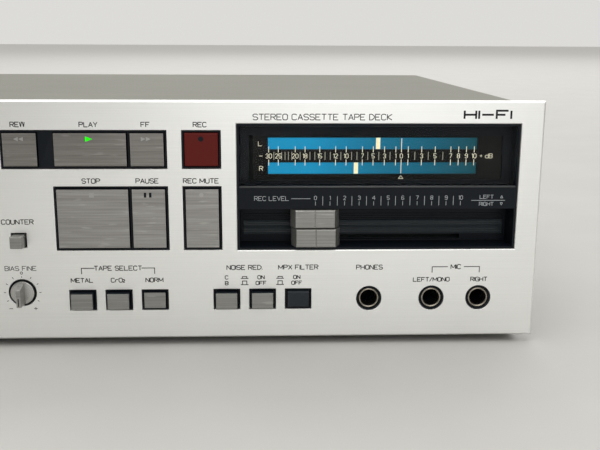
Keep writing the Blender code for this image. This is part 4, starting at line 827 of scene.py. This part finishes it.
def loft_rings(rings):
    """A skin through rings of (x, y, z) points, closed by a flat face at each end."""
    rings = np.asarray(rings, float)
    count, sides = rings.shape[:2]
    ends = [list(range(sides)), list(range((count - 1) * sides, count * sides))]
    return rings.reshape(-1, 3), grid_faces(count, sides, around=True) + ends


def grip_ring(y, half_width, low, high):
    """The grip bar's section at one depth."""
    section = rectangle(dial[0] - half_width, dial[0] + half_width, dial[2] + low, dial[2] + high)
    return [(x, y, z) for x, z in section]


make_piece("bias_knob_grip", loft_rings([
    grip_ring(DISC_FACE + 0.2, 1.15, -4.6, 4.5), grip_ring(knob_low[1] + 0.6, 0.98, -4.6, 3.1),
    grip_ring(knob_low[1], 0.85, -4.4, 2.8)]), "key_metal", "bias_knob", bevel=0.22)
make_piece("bias_knob_line", plate(rectangle(dial[0] - 0.22, dial[0] + 0.22, dial[2] - 3.9, dial[2] - 0.6),
                                   knob_low[1] - 0.03, knob_low[1] + 0.05), "print_black", "bias_knob")

# %% Headphone and microphone sockets
for jack in ("phones_jack", "mic_left_jack", "mic_right_jack"):
    softened(jack, "black_plastic", 0.08, f"{jack}_body")
    x, z = centre(jack)[0], line_z
    front = span(jack)[0][1]
    make_piece(f"{jack}_bushing", turned("Y", (x, z), [
        (4.12, front + 3.0), (4.32, front + 0.35), (4.2, front - 0.05), (3.95, front - 0.22), (3.7, front - 0.18),
        (3.5, front + 0.15), (3.34, front + 1.2), (3.26, front + 6.0), (3.6, front + 6.0), (3.7, front + 3.0)], 64,
        ring=True), "socket_metal", smooth=50)
    make_piece(f"{jack}_bore", turned("Y", (x, z), [
        (3.42, front + 6.05), (3.28, front + 6.05), (3.2, front + 19.0), (0.0, front + 19.0), (0.0, front + 19.6),
        (3.42, front + 19.6)], 48, ring=True), "gloss_black", smooth=40)
print("three sockets with bushing and bore")

# %% Counter wheels
WHEEL_RADIUS = (span("counter_units_wheel")[1][2] - span("counter_units_wheel")[0][2]) / 2
FIGURE_STEP = 2 * np.pi / 10


def rolled(shape, middle, radius, turn):
    """A flat shape laid on a wheel: height over radius is the angle, depth shortens or lengthens the radius."""
    points, faces = shape
    angle = points[:, 2] / radius + turn
    reach = radius - points[:, 1]
    return np.column_stack([points[:, 0] + middle[0], middle[1] - reach * np.cos(angle),
                            middle[2] + reach * np.sin(angle)]), faces


for unit in ("hundreds", "tens", "units"):
    wheel = f"counter_{unit}_wheel"
    middle = centre(wheel)
    make_piece(f"counter_{unit}_figures", joined(
        rolled(inked(lettering(str(figure), 0.0, 0.0, 3.1, 1.0), 0.42, -0.03, 0.05), middle, WHEEL_RADIUS,
               figure * FIGURE_STEP) for figure in range(10)), "print_black", wheel, weld=False)
softened("counter_frame", "black_plastic", 0.15)
print(f"ten figures round each wheel of {WHEEL_RADIUS:.1f} mm")

# %% [markdown]
# ## The folded cover
# The cover is one sheet of steel, bent at its two long edges round a small radius. A line that follows the bends
# from one lower edge to the other is carried back along the deck, which makes a grid; the cells inside the
# cooling slots are left out, and the Solidify modifier gives the sheet its thickness.
# %% Cover with bends and slots
cover_low, cover_high = span("top_cover")
BEND, SHEET = 2.0, 1.0
VENT_LEFT, VENT_PITCH, VENT_WIDTH, VENT_COUNT = -176.0, 8.0, 3.0, 12
VENT_BACK, VENT_FRONT = cover_high[1] - 28.0, cover_high[1] - 68.0


def cover_line():
    """Up the left side, a quarter circle, across between the slots' edges, a quarter circle, and down."""
    turn = np.linspace(0.0, np.pi / 2, 7)
    top, side = cover_high[2], cover_high[0]
    across = np.sort(np.concatenate([VENT_LEFT + VENT_PITCH * np.arange(VENT_COUNT),
                                     VENT_LEFT + VENT_WIDTH + VENT_PITCH * np.arange(VENT_COUNT),
                                     np.linspace(-80.0, side - 20.0, 8)]))
    x = np.concatenate([[-side, -side], -side + BEND - BEND * np.cos(turn), across,
                        side - BEND + BEND * np.sin(turn), [side, side]])
    z = np.concatenate([[cover_low[2], 50.0], top - BEND + BEND * np.sin(turn), np.full(across.size, top),
                        top - BEND + BEND * np.cos(turn), [50.0, cover_low[2]]])
    return x, z


line_x, line_z_cover = cover_line()
depth = np.array([cover_low[1], 60.0, 130.0, VENT_FRONT, VENT_BACK, cover_high[1]])
grid_y, grid_x = np.meshgrid(depth, line_x)
grid_z = np.broadcast_to(line_z_cover[:, None], grid_x.shape)
cover_points = np.stack([grid_x, grid_y, grid_z], axis=-1).reshape(-1, 3)
cells = np.array(grid_faces(len(line_x), len(depth)))
middles = cover_points[cells].mean(axis=1)
offset = middles[:, 0] - VENT_LEFT
slotted = ((middles[:, 1] > VENT_FRONT) & (middles[:, 1] < VENT_BACK) & (middles[:, 2] > cover_high[2] - 0.01)
           & (offset > 0) & (offset < VENT_PITCH * VENT_COUNT) & (offset % VENT_PITCH < VENT_WIDTH))
cover_mesh = bpy.data.meshes.new("top_cover_sheet")
cover_mesh.from_pydata(cover_points * MM + ORIGIN, [], cells[~slotted].tolist())
cover_mesh.update()
if cover_mesh.polygons[len(cells) // 2].normal.z < 0:
    cover_mesh.flip_normals()
cover = dressed("top_cover_sheet", cover_mesh, "cover_paint", "chassis", 0.0, None, ("top_cover",))
wall = cover.modifiers.new("sheet thickness", "SOLIDIFY")
wall.thickness = SHEET * MM
wall.offset = -1.0
print(f"cover: {len(cells)} cells, {int(slotted.sum())} left out for {VENT_COUNT} slots")

# %% [markdown]
# ## Screws, feet and the back
# The cover is held by pan-head screws with a cross recess, four at the sides and three at the back. Each foot is a
# turned rubber pad round its own screw. The back carries the line sockets, the mains inlet and plain legends.
# %% Screws
HEAD_RADIUS, HEAD_HEIGHT = 3.1, 1.7


def screw(at, way):
    """A domed head with a cross: the head is turned, the cross is two dark bars let into its top."""
    axis = "XYZ"[int(np.argmax(np.abs(way)))]
    sign = float(np.sum(way))
    k = "XYZ".index(axis)
    flat = [i for i in range(3) if i != k]
    crown = [(HEAD_RADIUS * math.cos(a), HEAD_HEIGHT * (0.35 + 0.65 * math.sin(a)))
             for a in np.linspace(0, 1.45, 7)]
    profile = [(0.0, -0.4), (HEAD_RADIUS, -0.4)] + crown + [(0.0, HEAD_HEIGHT)]
    head = turned(axis, (at[flat[0]], at[flat[1]]), [(r, at[k] + sign * h) for r, h in profile], 32)
    bars = []
    for wide, tall in ((3.2, 0.75), (0.75, 3.2)):
        ring = np.array([(-wide, -tall), (wide, -tall), (wide, tall), (-wide, tall)]) / 2
        rings = np.zeros((2, 4, 3))
        rings[:, :, flat] = ring + np.array([at[flat[0]], at[flat[1]]])
        rings[:, :, k] = at[k] + sign * np.array([[HEAD_HEIGHT - 0.5], [HEAD_HEIGHT + 0.02]])
        bars.append(loft_rings(rings))
    return head, bars


screws = [screw((side * cover_high[0], y, 12.0), (side, 0, 0)) for side in (-1, 1) for y in (60.0, 215.0)]
rear_high = span("rear_panel")[1]
screws += [screw((x, rear_high[1], z), (0, 1, 0)) for x, z in
           ((-195.0, 88.0), (0.0, 88.0), (195.0, 88.0), (-195.0, 9.0), (60.0, 9.0), (195.0, 9.0))]
screws += [screw((130.0 + dx, rear_high[1], 40.0), (0, 1, 0)) for dx in (-27.0, 27.0)]
make_piece("case_screws", joined(head for head, _ in screws), "polished_steel", smooth=40)
make_piece("case_screw_crosses", joined(bar for _, bars in screws for bar in bars), "gloss_black")
print("screws:", len(screws))

# %% Feet
for foot in ("foot_front_left", "foot_front_right", "foot_rear_left", "foot_rear_right"):
    low, high = span(foot)
    x, y = centre(foot)[:2]
    r = (high[0] - low[0]) / 2
    make_piece(f"{foot}_pad", turned("Z", (x, y), [
        (3.4, high[2]), (r, high[2]), (r, high[2] - 0.8), (r - 0.7, high[2] - 1.2), (r - 1.1, low[2] + 1.2),
        (r - 2.0, low[2] + 0.3), (r - 3.0, low[2]), (r - 6.0, low[2]), (r - 6.6, low[2] + 0.5), (6.0, low[2] + 0.5),
        (5.2, low[2] + 1.0), (5.0, low[2] + 2.4), (3.4, low[2] + 2.4)], 72, ring=True), "rubber_black",
        smooth=40, replaces=(foot,))
    make_piece(f"{foot}_screw", turned("Z", (x, y), [
        (0.0, low[2] + 1.2), (2.6, low[2] + 1.35), (3.9, low[2] + 1.8), (4.2, low[2] + 2.4), (3.3, low[2] + 2.4),
        (3.3, high[2]), (0.0, high[2])], 40), "zinc_steel", smooth=40)
print("feet:", 4)

# %% Back panel, sockets and inlet
softened("rear_panel", "zinc_steel", 0.15)
softened("line_socket_block", "black_plastic", 0.2)
softened("mains_inlet", "black_plastic", 0.25)
block = centre("line_socket_block")
SOCKET_PITCH, SOCKET_RADIUS = 16.0, 4.1
socket_tip = span("line_socket_block")[1][1]
socket_root = socket_tip - 8.0
shells, red_rings, white_rings = [], [], []
for i in (-0.5, 0.5):
    for j in (-0.5, 0.5):
        middle = (block[0] + i * SOCKET_PITCH, block[2] + j * SOCKET_PITCH)
        shells.append(turned("Y", middle, [
            (SOCKET_RADIUS - 0.1, socket_root + 0.2), (5.4, socket_root + 0.05), (5.4, socket_root + 0.9),
            (4.6, socket_root + 1.2), (4.3, socket_root + 1.5), (4.3, socket_tip - 0.3), (4.1, socket_tip + 0.05),
            (3.5, socket_tip + 0.05), (3.5, socket_tip - 0.2), (SOCKET_RADIUS - 0.3, socket_tip - 0.4)],
            48, ring=True))
        (red_rings if i < 0 else white_rings).append(turned("Y", middle, [
            (3.45, socket_tip - 0.3), (3.45, socket_tip + 0.02), (1.75, socket_tip + 0.02), (1.65, socket_tip - 0.3)],
            40, ring=True))
make_piece("line_socket_shells", joined(shells), "polished_steel", smooth=40)
make_piece("line_socket_right_rings", joined(red_rings), "socket_red", smooth=40)
make_piece("line_socket_left_rings", joined(white_rings), "wheel_white", smooth=40)
inlet = centre("mains_inlet")
make_piece("mains_inlet_pins", joined(turned("Y", (inlet[0] + side * 4.3, inlet[2]), [
    (0.0, 256.0), (1.3, 256.0), (1.3, 267.3), (0.9, 267.9), (0.0, 268.0)], 24) for side in (-1, 1)),
    "polished_steel", smooth=40)


def seen_from_behind(lines, width):
    """Lettering for the back: drawn at minus x, so that it reads the right way round from behind."""
    points, faces = inked(lines, width, rear_high[1] - 0.02, rear_high[1] + 0.04)
    return points * (-1.0, 1.0, 1.0), faces


rear = lettering("LINE OUT", -block[0], block[2] + 27.0, 2.6)
rear += lettering("LINE IN", -block[0], block[2] - 27.5, 2.6)
for letter, side in (("R", -33.0), ("L", 33.0)):
    rear += lettering(letter, -block[0] + side, block[2] - 8.0, 2.6)
rear += lettering("AC IN", -inlet[0], inlet[2] + 13.0, 2.8)
make_piece("rear_legends", seen_from_behind(rear, 0.36), "print_black", weld=False)
print("rear legends:", len(rear), "strokes")

# %% [markdown]
# ## Parts that keep their own shape
# The parts inside, and those that are seen only through glass, are right as they are. They take their finishes
# on their own meshes.
# %% Finishes for the remaining parts
KEPT = {
    "black_plastic": ["cassette_holder"],
    "gloss_black": ["meter_body"],
    "rib_navy": ["level_slide_pots"],
    "zinc_steel": ["chassis_tray", "transport_plate", "push_switch_bank", "head_carriage", "pinch_arm"],
    "polished_steel": ["capstan_flywheel", "capstan_motor"],
    "circuit_board": ["main_board", "front_board"],
    "iron_core": ["power_transformer"],
    "rubber_black": ["drive_belt", "pinch_roller"],
    "wheel_white": ["counter_hundreds_wheel", "counter_tens_wheel", "counter_units_wheel"],
    "spindle_grey": ["supply_spindle", "takeup_spindle"],
}
for finish, members in KEPT.items():
    for node in members:
        for slot in nodes[node].material_slots:
            slot.material = FINISHES[finish]
print("kept:", sum(len(members) for members in KEPT.values()), "nodes")

# %% [markdown]
# ## Floor, light and camera
# The deck stands on a pale floor under a soft room whose sky is brightest straight above, with one wide lamp
# overhead, a small low one in front that the face plate mirrors, and one behind that lights the floor there.
# What the camera sees of the sky has a brightness of its own, apart from the sky that lights the deck. The camera
# stands a little above the deck and to the right of its middle, close to the right half of its face.
# %% Floor
FLOOR_HALF = 12.0
floor_u, floor_v = np.meshgrid(np.linspace(-FLOOR_HALF, FLOOR_HALF, 9), np.linspace(-FLOOR_HALF, FLOOR_HALF, 9))
floor_mesh = bpy.data.meshes.new("floor")
floor_mesh.from_pydata(np.stack([floor_u, floor_v, 0.0 * floor_u], axis=-1).reshape(-1, 3), [], grid_faces(9, 9))
floor = bpy.data.objects.new("floor", floor_mesh)
bpy.context.scene.collection.objects.link(floor)
tree, shader, place = new_finish("pale_floor", Roughness=0.6)
sweep = place_group(tree, TEXTURE, {"Vector": place, "Scale": 300.0})
fill(tree, shader, {"Base Color": blended(tree, sweep["Tone"], (0.497, 0.490, 0.470), (0.515, 0.508, 0.487))})
floor_mesh.materials.append(FINISHES["pale_floor"])

# %% Light
SKY_LOW, SKY_HIGH, SKY_SEEN = 0.14, 1.74, 0.72
world = bpy.data.worlds.new("pale room")
bpy.context.scene.world = world
world.use_nodes = True
sky = world.node_tree
height = add(sky, "SeparateXYZ", {0: sky.nodes.new("ShaderNodeTexCoord").outputs["Generated"]}).outputs["Z"]
rising = add(sky, "Math", {0: height, 1: 2.0}, operation="POWER").outputs[0]
glow = ranged(sky, rising, SKY_LOW, SKY_HIGH)
seen = add(sky, "LightPath").outputs["Is Camera Ray"]
strength = add(sky, "Mix", {0: seen, 2: glow, 3: SKY_SEEN}).outputs[0]
background = sky.nodes["Background"]
background.inputs["Color"].default_value = (0.995, 0.985, 0.955, 1.0)
sky.links.new(strength, background.inputs["Strength"])


def soft_lamp(name, at, target, size, power):
    """A square lamp of a given size that faces a point."""
    lamp = bpy.data.lights.new(name, "AREA")
    lamp.shape = "SQUARE"
    lamp.size = size
    lamp.energy = power
    holder = bpy.data.objects.new(name, lamp)
    turn = (Vector(target) - Vector(at)).to_track_quat("-Z", "Y").to_matrix().to_4x4()
    holder.matrix_world = Matrix.Translation(at) @ turn
    bpy.context.scene.collection.objects.link(holder)


soft_lamp("overhead lamp", (0.15, -0.5, 1.7), (0.1, -0.1, 0.0), 1.4, 4.0)
soft_lamp("low lamp", (0.22, -0.85, 0.28), (0.14, 0.0, 0.02), 0.45, 1.25)
soft_lamp("back lamp", (0.5, 2.9, 2.2), (0.5, 3.0, 0.0), 4.0, 58.0)
bpy.context.scene.view_settings.view_transform = "Standard"

# %% Camera
LENS = 50.5
EYE = Vector((0.10111, -0.47717, 0.12832))
PITCH, YAW, ROLL = (math.radians(angle) for angle in (12.632, 2.3286, 0.2863))
forward = Vector((math.sin(YAW) * math.cos(PITCH), math.cos(YAW) * math.cos(PITCH), -math.sin(PITCH)))
right = Vector((math.cos(YAW), -math.sin(YAW), 0.0))
up = right.cross(forward)
leaning_right = right * math.cos(ROLL) + up * math.sin(ROLL)
leaning_up = up * math.cos(ROLL) - right * math.sin(ROLL)
lens = bpy.data.cameras.new("camera")
lens.lens = LENS
lens.sensor_width = 36.0
lens.clip_start = 0.01
camera = bpy.data.objects.new("camera", lens)
camera.matrix_world = Matrix.Translation(EYE) @ Matrix((leaning_right, leaning_up, -forward)).transposed().to_4x4()
bpy.context.scene.collection.objects.link(camera)
bpy.context.scene.camera = camera

# %% [markdown]
# ## Last update
# The view layer is brought up to date once more.
# %% Update
bpy.context.view_layer.update()
